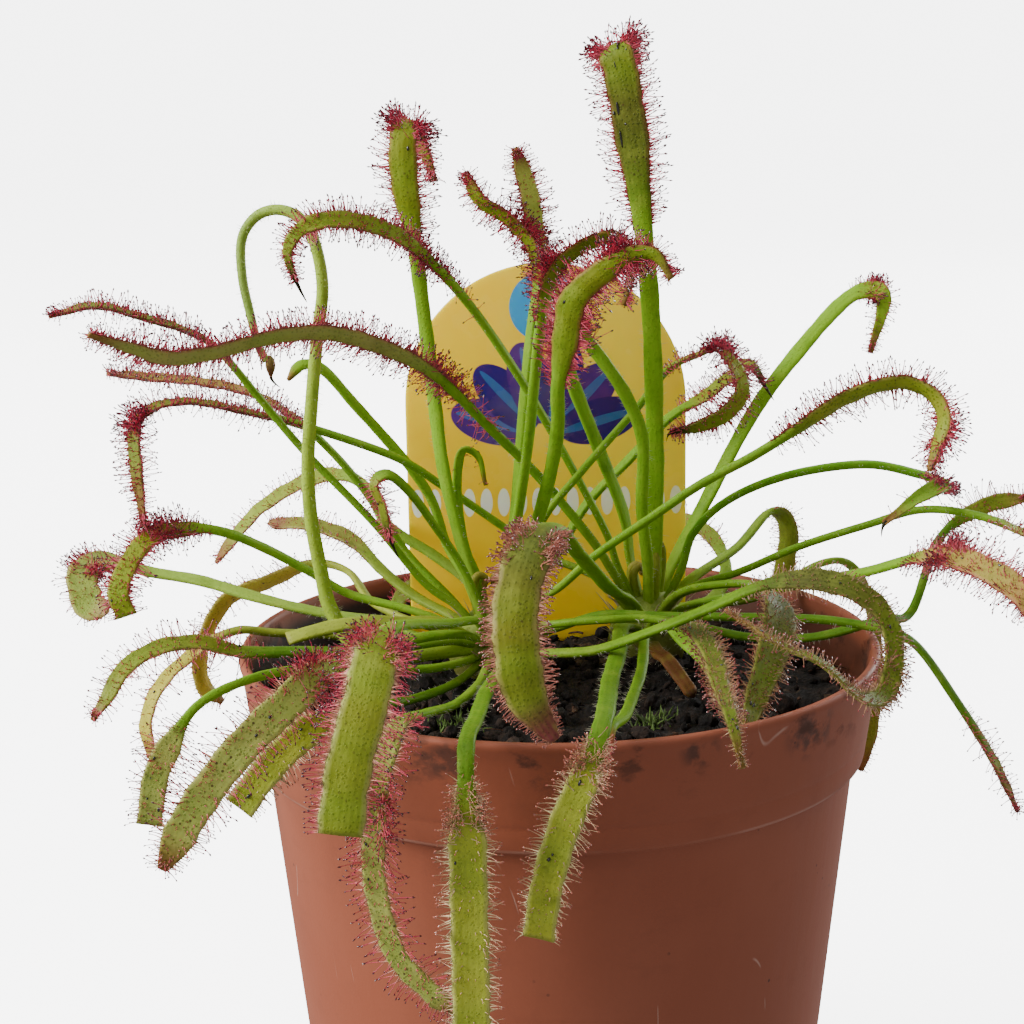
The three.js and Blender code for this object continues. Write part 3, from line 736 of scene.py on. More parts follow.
def ball(level: int) -> tuple[Array, Array]:
    """Points and triangles of a ball of radius 1.

    Args:
        level: how often its faces are divided.

    Returns:
        The points and the triangles.
    """
    g = (1.0 + 5.0 ** 0.5) / 2.0
    points = [(-1, g, 0), (1, g, 0), (-1, -g, 0), (1, -g, 0), (0, -1, g), (0, 1, g),
              (0, -1, -g), (0, 1, -g), (g, 0, -1), (g, 0, 1), (-g, 0, -1), (-g, 0, 1)]
    faces = [(0, 11, 5), (0, 5, 1), (0, 1, 7), (0, 7, 10), (0, 10, 11), (1, 5, 9), (5, 11, 4),
             (11, 10, 2), (10, 7, 6), (7, 1, 8), (3, 9, 4), (3, 4, 2), (3, 2, 6), (3, 6, 8),
             (3, 8, 9), (4, 9, 5), (2, 4, 11), (6, 2, 10), (8, 6, 7), (9, 8, 1)]
    corners = [unit(np.array(p, float)) for p in points]
    for _ in range(level):
        halves: dict[tuple[int, int], int] = {}
        finer = []
        for face in faces:
            mids = []
            for a, b in zip(face, face[1:] + face[:1]):
                key = (min(a, b), max(a, b))
                if key not in halves:
                    halves[key] = len(corners)
                    corners.append(unit(corners[a] + corners[b]))
                mids.append(halves[key])
            a, b, c = face
            ab, bc, ca = mids
            finer += [(a, ab, ca), (b, bc, ab), (c, ca, bc), (ab, bc, ca)]
        faces = finer
    return np.array(corners), np.array(faces)


def spikes(
    mesh: Mesh, slot: int, roots: Array, ways: Array, bends: Array,
    lengths: Array, stops: Sequence[float], radii: Array, tints: Array,
    sides: int, bead: tuple[int, int] | None = None,
) -> None:
    """Add many thin bent spikes at once.

    Args:
        mesh: where they are added.
        slot: the material slot of their stalks.
        roots: where each begins.
        ways: the direction in which each leaves its root.
        bends: how far each is bent aside at its tip, as a part of its length.
        lengths: how long each is.
        stops: where the rings lie, as parts of the length.
        radii: each spike's radius at each stop.
        tints: each spike's colour at each stop.
        sides: how many sides a spike has.
        bead: the first band and the material slot of the bead at the tip.
    """
    n = len(roots)
    if n == 0:
        return
    s = np.asarray(stops, float)
    reach = lengths[:, None, None]
    run = ways[:, None] * s[None, :, None] + bends[:, None] * (s * s)[None, :, None]
    middle = roots[:, None] + reach * run
    helper = np.where(np.abs(ways[:, 2:3]) > 0.8, np.array([[1.0, 0.0, 0.0]]), UP[None])
    u = unit(np.cross(ways, helper))
    v = np.cross(ways, u)
    turn = turns(sides)[None, None, :, None]
    ring = u[:, None, None] * np.cos(turn) + v[:, None, None] * np.sin(turn)
    points = middle[:, :, None] + radii[:, :, None, None] * ring
    one = grid_faces(len(s), sides, True)
    each = (np.arange(n) * len(s) * sides)[:, None, None]
    colours = np.repeat(tints[:, :, None], sides, axis=2).reshape(-1, 3)
    stalk_faces = len(one) if bead is None else bead[0] * sides
    stalks = (one[None, :stalk_faces] + each).reshape(-1, 4)
    mesh.add(points.reshape(-1, 3), [stalks], slot, colours)
    if bead is not None:
        head = (one[None, stalk_faces:] + each).reshape(-1, 4) + mesh.count - len(colours)
        mesh.faces.append((head, bead[1]))


# ---- pot, soil and label ----


@dataclass
class Pot:
    """The round tapered growing pot with its collar."""

    height: float = 80.0
    rim_r: float = 45.0
    collar_h: float = 14.5
    collar_r: float = 43.1
    body_r: float = 41.7
    low_z: float = 20.0
    low_r: float = 37.1
    base_r: float = 35.0
    wall: float = 1.2
    floor: float = 2.0
    drains: int = 6
    drain_r: float = 2.4
    drain_ring: float = 24.0
    sides: int = 160

    @property
    def collar_z(self) -> float:
        """The height at which the collar begins."""
        return self.height - self.collar_h

    def radius(self, z: float) -> float:
        """The outer radius of the body or collar.

        Args:
            z: height above the base.

        Returns:
            The radius.
        """
        heights = (0.0, self.low_z, self.collar_z - 0.01, self.collar_z, self.height)
        radii = (self.base_r, self.low_r, self.body_r, self.collar_r, self.rim_r)
        return float(np.interp(z, heights, radii))

    def inner(self, z: float) -> float:
        """The inner radius, which runs straight behind the collar.

        Args:
            z: height above the base.

        Returns:
            The radius.
        """
        bend_z = self.collar_z - 0.6
        if z > bend_z:
            rise = (z - bend_z) / (self.height - bend_z)
            return self.body_r + (self.rim_r - self.body_r) * rise - self.wall
        return self.radius(z) - self.wall

    def profile(self) -> list[tuple[float, float]]:
        """The wall's section, from the middle of the base out, up and back to the floor.

        Returns:
            Radius and height of each point.
        """
        base_r, body_r, rim_r, top, step_z = (
            self.base_r, self.body_r, self.rim_r, self.height, self.collar_z)
        seam_z = step_z + 3.0
        base = [(0.01, 0.9), (base_r - 8.0, 0.9), (base_r - 6.5, 0.0), (base_r - 0.6, 0.0)]
        foot = [(base_r - 0.15, 0.15), (self.radius(0.6), 0.6)]
        wall = [(self.radius(z), z) for z in np.linspace(4.0, self.low_z - 0.4, 5)]
        upper = [(self.radius(z), z) for z in np.linspace(self.low_z + 0.6, step_z - 1.2, 12)]
        step = [(body_r, step_z - 0.75), (body_r + 0.25, step_z - 0.6),
                (self.collar_r - 0.35, step_z - 0.45), (self.collar_r - 0.08, step_z - 0.2),
                (self.radius(step_z + 0.3), step_z + 0.3)]
        seam = [(self.radius(seam_z + z) - cut, seam_z + z)
                for z, cut in ((-0.3, 0.0), (0.0, 0.07), (0.3, 0.0))]
        collar = [(self.radius(z), z) for z in np.linspace(seam_z + 1.0, top - 1.4, 6)]
        bead = [(rim_r, top - 1.0), (rim_r - 0.02, top - 0.45), (rim_r - 0.2, top - 0.12),
                (rim_r - 0.55, top)]
        lip = [(self.inner(top) + 0.25, top), (self.inner(top) + 0.02, top - 0.2)]
        inside = [(self.inner(z), z) for z in np.linspace(top - 0.8, self.floor + 1.0, 14)]
        bottom = [(self.inner(self.floor) - 0.6, self.floor), (0.01, self.floor)]
        return (base + foot + wall + upper + step + seam + collar + bead + lip + inside
                + bottom)

    def drill(self) -> Object:
        """The cutter for the drain holes.

        Returns:
            An object of upright pegs.
        """
        mesh = Mesh()
        low, high = -1.0, 2.0 * self.floor
        peg = [(0.01, low), (self.drain_r, low), (self.drain_r, high), (0.01, high)]
        points, faces = lathe(peg, 24)
        for k in range(self.drains):
            turn = 2.0 * math.pi * (k + 0.5) / self.drains
            shift = self.drain_ring * np.array([math.cos(turn), math.sin(turn), 0.0])
            mesh.add(points + shift, [faces], 0, WHITE)
        return mesh.build("drain_drill", [])

    def build(self) -> Object:
        """Turn the pot and cut its drain holes.

        Returns:
            The pot.
        """
        mesh = Mesh()
        points, faces = lathe(self.profile(), self.sides)
        mesh.add(points, [faces], 0, WHITE)
        plastic = PotPlastic(rim_z=self.height, rim_r=self.rim_r).material()
        pot = mesh.build("growing_pot", [plastic])
        drill = self.drill()
        cut = pot.modifiers.new("drains", "BOOLEAN")
        cut.object = drill
        cut.solver = "EXACT"
        bpy.context.view_layer.objects.active = pot
        bpy.ops.object.modifier_apply(modifier=cut.name)
        bpy.data.objects.remove(drill)
        return dress(pot, "pot_plastic", "pot")


@dataclass
class Soil(Growth):
    """Potting mix: a lumpy top, loose crumbs, bark, fibres and bits of moss."""

    pot: Pot
    crowns: Sequence[tuple[float, float]]
    top: float = 73.0
    mound: float = 2.0
    gap: float = 0.4
    sides: int = 120
    rings: int = 34
    crumbs: int = 850
    straws: int = 90
    moss: int = 420
    patches: int = 6
    seed: int = 11
    waves: tuple[tuple[float, float], ...] = ((11.0, 0.45), (5.3, 0.35), (2.7, 0.28), (1.5, 0.18))

    def __post_init__(self) -> None:
        """Start the soil's stream of random numbers."""
        self.begin(self.seed)

    def height_at(self, x: Array, y: Array) -> Array:
        """The soil's height, with its lumps.

        Args:
            x: places across.
            y: places in depth.

        Returns:
            The heights.
        """
        near = np.min([np.hypot(x - cx, y - cy) for cx, cy in self.crowns], axis=0)
        lumps = 0.0
        for k, (size, rise) in enumerate(self.waves):
            turn = 0.7 + 1.9 * k
            a = (x * math.cos(turn) + y * math.sin(turn)) / size * 2.0 * math.pi
            b = (y * math.cos(turn) - x * math.sin(turn)) / (0.83 * size) * 2.0 * math.pi
            swing = np.cos(b + 0.9 * np.sin(0.5 * a))
            lumps = lumps + rise * np.sin(a + 1.3 * np.sin(0.6 * b)) * swing
        return self.top + self.mound * np.exp(-((near / 14.0) ** 2)) + lumps

    def bed(self) -> None:
        """Add the block of soil with its lumpy top."""
        pot, turn, sides = self.pot, turns(self.sides), self.sides
        low_z = pot.floor + 0.3
        levels = (low_z, pot.low_z, pot.collar_z - 0.6, self.top - 2.0)
        rows = [circle(pot.inner(z) - self.gap, z, turn) for z in levels]
        for k in range(self.rings):
            r = (pot.inner(self.top - 1.0) - self.gap) * (1.0 - k / self.rings)
            x, y = r * np.cos(turn), r * np.sin(turn)
            z = self.height_at(x, y) - (0.8 if k == 0 else 0.0)
            rows.append(np.stack([x, y, z], axis=1))
        n = len(rows) * sides
        middles = np.array([[0.0, 0.0, self.top + 1.0], [0.0, 0.0, low_z]])
        ends = [fan_faces(np.arange(n - sides, n), n), fan_faces(np.arange(sides), n + 1, True)]
        faces = [grid_faces(len(rows), sides, True), *ends]
        self.mesh.add(np.concatenate([*rows, middles]), faces, 0, WHITE)

    def scatter(self, count: int) -> Array:
        """Places on the soil's top.

        Args:
            count: how many.

        Returns:
            Rows of x, y and z.
        """
        r = (self.pot.inner(self.top) - 1.6) * np.sqrt(self.rng.random(count))
        turn = 2.0 * math.pi * self.rng.random(count)
        x, y = r * np.cos(turn), r * np.sin(turn)
        return np.stack([x, y, self.height_at(x, y)], axis=1)

    def crumble(self) -> None:
        """Add crumbs of peat, bark and a few pale grains."""
        rng = self.rng
        points, faces = ball(1)
        for at in self.scatter(self.crumbs):
            size = 0.30 + 1.15 * rng.random() ** 3.0
            stretch = size * (0.6 + 0.8 * rng.random(3))
            crumb = lumpy(points, rng) * stretch
            spin = np.linalg.qr(rng.normal(size=(3, 3)))[0]
            kind = rng.random()
            shade = 0.5 + 0.9 * rng.random()
            pale = 7.0 if kind > 0.975 else 2.6 if kind > 0.85 else 1.0
            tint = np.array([1.0, 0.93, 0.85]) * shade * pale
            self.mesh.add(crumb @ spin.T + at + UP * 0.35 * size, [faces], 0, tint)

    def fibres(self) -> None:
        """Add fine roots and straws lying on the top."""
        rng, count = self.rng, self.straws
        at = self.scatter(count)
        turn = 2.0 * math.pi * rng.random(count)
        ways = np.stack([np.cos(turn), np.sin(turn), 0.25 * rng.random(count)], axis=1)
        bends = np.stack([-0.5 * np.sin(turn), 0.5 * np.cos(turn), np.full(count, -0.35)], axis=1)
        stops = (0.0, 0.25, 0.5, 0.75, 1.0)
        radii = np.outer(0.06 + 0.14 * rng.random(count), (1.0, 1.0, 0.9, 0.7, 0.2))
        shade = (2.0 + 7.0 * rng.random(count) ** 2)[:, None, None]
        tints = painted((1.0, 0.8, 0.6), shade, len(stops))
        lengths = 2.0 + 5.0 * rng.random(count)
        spikes(self.mesh, 0, at + UP * 0.5, unit(ways), bends, lengths, stops, radii, tints, 5)

    def tufts(self) -> None:
        """Add tufts of moss in a few patches."""
        rng, count = self.rng, self.patches
        middles = self.scatter(count)[:, None]
        at = middles + rng.normal(0.0, 1.6, (count, self.moss // count, 3)) * (1, 1, 0)
        at = at.reshape(-1, 3)
        at = at[np.hypot(at[:, 0], at[:, 1]) < self.pot.inner(self.top) - 1.0]
        at[:, 2] = self.height_at(at[:, 0], at[:, 1]) - 0.1
        n = len(at)
        stops = (0.0, 0.5, 1.0)
        ways = unit(rng.normal(0.0, 0.5, (n, 3)) + UP * 1.1)
        radii = np.outer(0.10 + 0.08 * rng.random(n), (1.0, 1.1, 0.25))
        shade = (0.6 + 0.8 * rng.random(n))[:, None, None]
        tints = painted((0.10, 0.17, 0.025), shade, len(stops))
        bends = rng.normal(0.0, 0.3, (n, 3))
        lengths = 0.7 + 1.2 * rng.random(n)
        spikes(self.mesh, 0, at, ways, bends, lengths, stops, radii, tints, 4)

    def build(self) -> Object:
        """Build the soil and its moss.

        Returns:
            The soil.
        """
        self.bed()
        self.crumble()
        self.fibres()
        soil = dress(self.mesh.build("potting_mix", [SoilMix().material()]), "soil", "soil")
        self.mesh = Mesh()
        self.tufts()
        green = TintedFinish("moss_green", 0.7).material()
        dress(self.mesh.build("moss", [green]), "leaf")
        return soil


@dataclass
class PlantLabel:
    """The arched label on its stake behind the plants."""

    width: float = 42.0
    thick: float = 0.8
    x: float = -1.0
    y: float = 22.0
    shoulder_z: float = 110.0
    top_z: float = 131.0
    flank_z: float = 61.0
    stake_z: float = 46.0
    stake_w: float = 14.0
    round_r: float = 0.22

    def outline(self, inset: float) -> Array:
        """The label's edge, anticlockwise from the stake's left corner.

        Args:
            inset: how far inside the true edge it lies.

        Returns:
            Rows of x and z.
        """
        half = self.width / 2.0 - inset
        stake = self.stake_w / 2.0 - inset
        flank = [(half, z) for z in np.linspace(self.flank_z, self.shoulder_z, 14)]
        rise = self.top_z - inset - self.shoulder_z
        angles = np.linspace(0.0, math.pi, 49)[1:-1]
        arch = [(half * math.cos(a), self.shoulder_z + rise * math.sin(a)) for a in angles]
        right = [(-half, z) for z in np.linspace(self.shoulder_z, self.flank_z, 14)]
        foot = self.stake_z + inset
        return np.array([(-stake, foot), (stake, foot), *flank, *arch, *right])

    def build(self) -> Object:
        """Cut the label with rounded edges.

        Returns:
            The label.
        """
        rows = []
        rounding = ((1, -0.5), (0.35, -0.42), (0, -0.25), (0, 0.25), (0.35, 0.42), (1, 0.5))
        for part, depth in rounding:
            edge = self.outline(part * self.round_r)
            y = np.full(len(edge), self.y + depth * self.thick)
            rows.append(np.stack([edge[:, 0] + self.x, y, edge[:, 1]], axis=1))
        n = len(rows[0])
        mesh = Mesh()
        side = grid_faces(len(rows), n, True)[:, ::-1]
        front = np.arange(n)
        back = np.arange(n) + n * (len(rows) - 1)
        faces = [side, *self.strips(front, False), *self.strips(back, True)]
        mesh.add(np.concatenate(rows), faces, 0, WHITE)
        material = LabelPrint(centre_x=self.x, front_y=self.y).material()
        label = mesh.build("printed_label", [material])
        return dress(label, "label_plastic", "plant_label")

    def strips(self, ring: Array, flip: bool) -> list[Array]:
        """Faces across the label between points at the same height on its two edges.

        Args:
            ring: the point numbers of one side's edge.
            flip: whether the faces look back.

        Returns:
            The faces with four sides, and the one with three at the top.
        """
        half = len(ring) // 2
        right = ring[1:half + 1]
        left = np.concatenate([ring[:1], ring[:half:-1]])[: len(right)]
        quads = np.stack([left[:-1], right[:-1], right[1:], left[1:]], axis=1)
        peak = np.array([[left[-1], right[-1], ring[half + 1]]])
        return [quads[:, ::-1], peak[:, ::-1]] if flip else [quads, peak]


# ---- leaves ----


class Rosette(Enum):
    """The two plants, by the place of their crowns."""

    A = (13.5, 10.0)
    B = (-9.5, 3.0)


SHEATH: Colour = (0.25, 0.33, 0.045)
GRIME: Colour = (0.045, 0.040, 0.018)
CUT: Colour = (0.16, 0.085, 0.04)
THREAD_STOPS: tuple[float, ...] = (0.0, 0.2, 0.45, 0.7, 0.9, 1.0)


@dataclass(frozen=True)
class Look:
    """The colours and tentacles of a kind of leaf."""

    petiole: Colour = (0.17, 0.35, 0.014)
    blade: Colour = (0.32, 0.39, 0.038)
    edge: Colour = (0.52, 0.43, 0.16)
    tip: Colour = (0.24, 0.12, 0.035)
    tip_from: float = 0.95
    spots: float = 0.25
    root: Colour = (0.60, 0.22, 0.18)
    stalk: Colour = (0.72, 0.060, 0.135)
    bead: Colour = (0.075, 0.006, 0.016)
    dense: float = 1.0
    reach: float = 1.0
    bare: float = 0.0
    cup: float = 0.12
    thread: float = 0.0
    specks: int = 3
    streak: float = 1.0
    soiled: float = 0.0


class Kind(Enum):
    """The kinds of leaf on the plants."""

    FRESH = Look()
    OLIVE = Look(
        blade=(0.15, 0.16, 0.02), edge=(0.2, 0.07, 0.04), spots=0.5, root=(0.32, 0.05, 0.06),
        dense=1.8)
    BLUSHED = Look(
        blade=(0.38, 0.35, 0.1), edge=(0.42, 0.14, 0.1), spots=0.4, root=(0.5, 0.12, 0.12),
        dense=2.1)
    TUFTED = Look(
        petiole=(0.25, 0.49, 0.02), blade=(0.25, 0.29, 0.022), edge=(0.4, 0.14, 0.07), spots=0.5,
        tip=(0.22, 0.19, 0.03), root=(0.55, 0.12, 0.13), dense=1.6, cup=0.05, specks=9)
    STREAKED = Look(
        petiole=(0.23, 0.45, 0.016), blade=(0.13, 0.145, 0.008), edge=(0.34, 0.11, 0.06), spots=0.7,
        root=(0.6, 0.12, 0.14), stalk=(0.76, 0.08, 0.16), dense=1.9, cup=0.0, specks=26, streak=5.0,
        soiled=0.4)
    CROWDED = Look(
        petiole=(0.21, 0.42, 0.016), blade=(0.18, 0.21, 0.013), edge=(0.4, 0.1, 0.07), spots=0.35,
        root=(0.48, 0.07, 0.09), dense=2.1)
    SLENDER = Look(
        petiole=(0.21, 0.42, 0.016), blade=(0.54, 0.61, 0.1), edge=(0.52, 0.3, 0.16), spots=0.15,
        root=(0.52, 0.14, 0.13), dense=1.8, bare=0.6)
    FEATHERY = Look(
        blade=(0.42, 0.25, 0.07), edge=(0.55, 0.17, 0.14), spots=0.2, root=(0.62, 0.18, 0.18),
        stalk=(0.68, 0.12, 0.17), dense=1.7, reach=0.95)
    SPOTTED = Look(
        blade=(0.46, 0.49, 0.12), edge=(0.52, 0.46, 0.17), spots=0.9, root=(0.66, 0.44, 0.24),
        specks=8)
    STUDDED = Look(
        blade=(0.29, 0.32, 0.028), edge=(0.4, 0.28, 0.09), spots=1.0, root=(0.46, 0.12, 0.09),
        dense=2.0, reach=1.05)
    # Painted shade: the petiole colour here is darker, for petioles that lie in shadow.
    DOTTED = Look(
        petiole=(0.13, 0.26, 0.01), blade=(0.14, 0.155, 0.016), edge=(0.36, 0.29, 0.09), spots=0.9,
        root=(0.36, 0.28, 0.11), stalk=(0.48, 0.24, 0.13), bead=(0.28, 0.05, 0.05), dense=1.1,
        reach=0.55, specks=12, soiled=0.55)
    # Painted shade: the petiole colour here is darker, for petioles that lie in shadow.
    CREAM = Look(
        petiole=(0.11, 0.24, 0.01), blade=(0.39, 0.42, 0.045), edge=(0.62, 0.56, 0.22), spots=0.2,
        root=(0.74, 0.66, 0.34), stalk=(0.72, 0.46, 0.28), bead=(0.52, 0.17, 0.12), reach=0.7,
        bare=0.65, specks=6)
    FRINGED = Look(
        blade=(0.26, 0.29, 0.026), edge=(0.56, 0.52, 0.2), spots=0.4, root=(0.7, 0.45, 0.26),
        dense=2.0, cup=0.06)
    RUDDY = Look(
        blade=(0.3, 0.26, 0.03), tip=(0.34, 0.07, 0.05), tip_from=0.85, spots=0.4, dense=0.8,
        reach=0.5)
    PALE = Look(
        petiole=(0.22, 0.36, 0.03), blade=(0.24, 0.29, 0.035), edge=(0.34, 0.22, 0.08),
        tip=(0.27, 0.12, 0.05), tip_from=0.93, spots=0.15, dense=0.6, reach=0.7, specks=1)
    CUPPED = Look(
        petiole=(0.28, 0.43, 0.05), blade=(0.36, 0.45, 0.09), edge=(0.55, 0.36, 0.15), spots=0.05,
        tip=(0.5, 0.36, 0.15), tip_from=0.95, dense=0.9, reach=0.8, specks=0)
    DARK = Look(
        petiole=(0.094, 0.22, 0.01), blade=(0.22, 0.26, 0.021), edge=(0.35, 0.25, 0.088), spots=0.4,
        dense=0.9)
    YELLOWED = Look(
        petiole=(0.33, 0.39, 0.043), blade=(0.51, 0.44, 0.052), spots=0.3, dense=0.6, reach=0.8)
    BROWN = Look(
        petiole=(0.22, 0.31, 0.03), blade=(0.24, 0.23, 0.045), tip=(0.26, 0.13, 0.07),
        tip_from=0.85, dense=0.8, reach=0.7)
    BLACK_TIP = Look(
        blade=(0.27, 0.29, 0.025), tip=(0.01, 0.008, 0.006), tip_from=0.93, spots=0.5,
        root=(0.52, 0.12, 0.12), dense=2.0, reach=0.95, bare=0.55, thread=1.8)
    HOOKED = Look(
        petiole=(0.2, 0.4, 0.016), blade=(0.27, 0.32, 0.03), edge=(0.42, 0.16, 0.1), spots=0.35,
        tip=(0.06, 0.06, 0.012), tip_from=0.93, root=(0.55, 0.13, 0.14), dense=2.0, reach=0.8,
        thread=1.9)
    DRIED_TIP = Look(
        blade=(0.155, 0.155, 0.013), edge=(0.5, 0.36, 0.15), tip=(0.2, 0.045, 0.045), tip_from=0.92,
        spots=0.45, root=(0.52, 0.28, 0.15), stalk=(0.5, 0.16, 0.12), bead=(0.26, 0.07, 0.05),
        dense=2.2, reach=0.6, soiled=0.5)
    ROLLED = Look(
        petiole=(0.14, 0.35, 0.012), blade=(0.21, 0.37, 0.021), edge=(0.18, 0.25, 0.025),
        spots=0.12, dense=0.16, reach=0.7, cup=0.45, thread=1.8)
    BEAKED = Look(
        petiole=(0.23, 0.45, 0.018), blade=(0.27, 0.42, 0.022), edge=(0.34, 0.22, 0.05), spots=0.1,
        root=(0.62, 0.12, 0.15), dense=0.9, reach=0.6, specks=0)
    BARE = Look(
        petiole=(0.23, 0.45, 0.018), blade=(0.27, 0.47, 0.021), edge=(0.2, 0.34, 0.025), spots=0.1,
        dense=0.1, reach=0.6)
    DRY = Look(
        petiole=(0.23, 0.087, 0.032), blade=(0.25, 0.088, 0.035), tip=(0.08, 0.03, 0.012),
        spots=0.3)


@dataclass(frozen=True)
class LeafPlan:
    """One leaf: its widths, its kind and the route of its midrib."""

    name: str
    rosette: Rosette
    start_point: float
    blade: float
    petiole: float
    roll: float
    kind: Kind
    route: tuple[Triple, ...]
    taper: float = 0.08
    face: int = 1
    tuft: float = 0.0

    @property
    def tuft_at(self) -> float:
        """Where its thickest tuft of tentacles is, as a part of the whole route."""
        return (self.tuft + 1.0) / len(self.route)

    @property
    def start(self) -> float:
        """Where the blade begins, as a part of the whole route."""
        return (self.start_point + 1.0) / len(self.route)


@dataclass
class Path:
    """Stations along a route, with a side and an upper direction at each."""

    t: Array
    at: Array
    along: Array
    side: Array
    top: Array

    @property
    def length(self) -> Array:
        """The length run at each station."""
        steps = np.linalg.norm(np.diff(self.at, axis=0), axis=1)
        return np.concatenate([[0.0], np.cumsum(steps)])

    def read(self, t: Array) -> Path:
        """The path at other places.

        Args:
            t: parts of the whole route.

        Returns:
            A path with those stations.
        """
        def mixed(rows: Array) -> Array:
            """Rows mixed between the nearest stations."""
            return np.stack([np.interp(t, self.t, rows[:, k]) for k in range(3)], axis=1)

        ways = (unit(mixed(rows)) for rows in (self.along, self.side, self.top))
        return Path(t, mixed(self.at), *ways)


def spline(route: Array, t: Array) -> Array:
    """A smooth curve through the points of a route.

    Args:
        route: rows of x, y and z.
        t: parts of the whole route, from 0 to 1.

    Returns:
        The curve's points.
    """
    ends = np.vstack([2.0 * route[0] - route[1], route, 2.0 * route[-1] - route[-2]])
    at = np.clip(t, 0.0, 1.0) * (len(route) - 1)
    i = np.minimum(at.astype(int), len(route) - 2)
    f = (at - i)[:, None]
    before, here, after, beyond = ends[i], ends[i + 1], ends[i + 2], ends[i + 3]
    leave = 0.5 * (after - before)
    reach = 0.5 * (beyond - here)
    turn = 3.0 * (after - here) - 2.0 * leave - reach
    close = 2.0 * (here - after) + leave + reach
    return here + leave * f + turn * f ** 2 + close * f ** 3


def follow(route: Sequence[Triple], rosette: Rosette, roll: float, step: float = 0.9) -> Path:
    """A path along a route that begins inside its crown.

    Args:
        route: the listed points.
        rosette: the plant that it belongs to.
        roll: the turn of the upper side, in degrees.
        step: the distance between stations.

    Returns:
        The path.
    """
    listed = np.array(route, float)
    centre = np.array([*rosette.value, CROWN_Z])
    first = centre + (listed[0] - centre) * (0.25, 0.25, 0.3)
    points = np.vstack([first, listed])
    length = np.linalg.norm(np.diff(points, axis=0), axis=1).sum()
    t = np.linspace(0.0, 1.0, int(length / step) + 2)
    at = spline(points, t)
    along = unit(np.gradient(at, axis=0))
    far = points[np.argmax(np.hypot(*(points - centre)[:, :2].T))] - centre
    side = np.cross(UP, unit(np.array([far[0], far[1], 0.0])))
    sides = []
    for way in along:
        side = unit(side - way * float(side @ way))
        sides.append(side)
    plain = np.array(sides)
    turn = np.radians(roll) * np.minimum(1.0, 2.0 * t)[:, None]
    turned = plain * np.cos(turn) + np.cross(along, plain) * np.sin(turn)
    return Path(t, at, along, turned, np.cross(along, turned))


@dataclass
class Surroundings:
    """What tentacles must not run into: the pot, the soil and the label."""

    pot: Pot
    soil: Soil
    label: PlantLabel

    def free(self, points: Array) -> Array:
        """Whether each point is in the open.

        Args:
            points: rows of x, y and z.

        Returns:
            True where nothing is in the way.
        """
        x, y, z = points.T
        r = np.hypot(x, y)
        pot, label = self.pot, self.label
        outer = np.interp(z, (0.0, pot.height), (pot.base_r, pot.rim_r)) + 0.4
        rim = (r < pot.rim_r + 0.4) & (r > pot.rim_r - 4.0) & (z < pot.height + 0.3)
        body = (r < outer) & (z < self.soil.top + 0.5)
        plate = (np.abs(y - label.y) < 0.7) & (np.abs(x - label.x) < label.width / 2)
        return ~(rim | body | (plate & (z < label.top_z)))


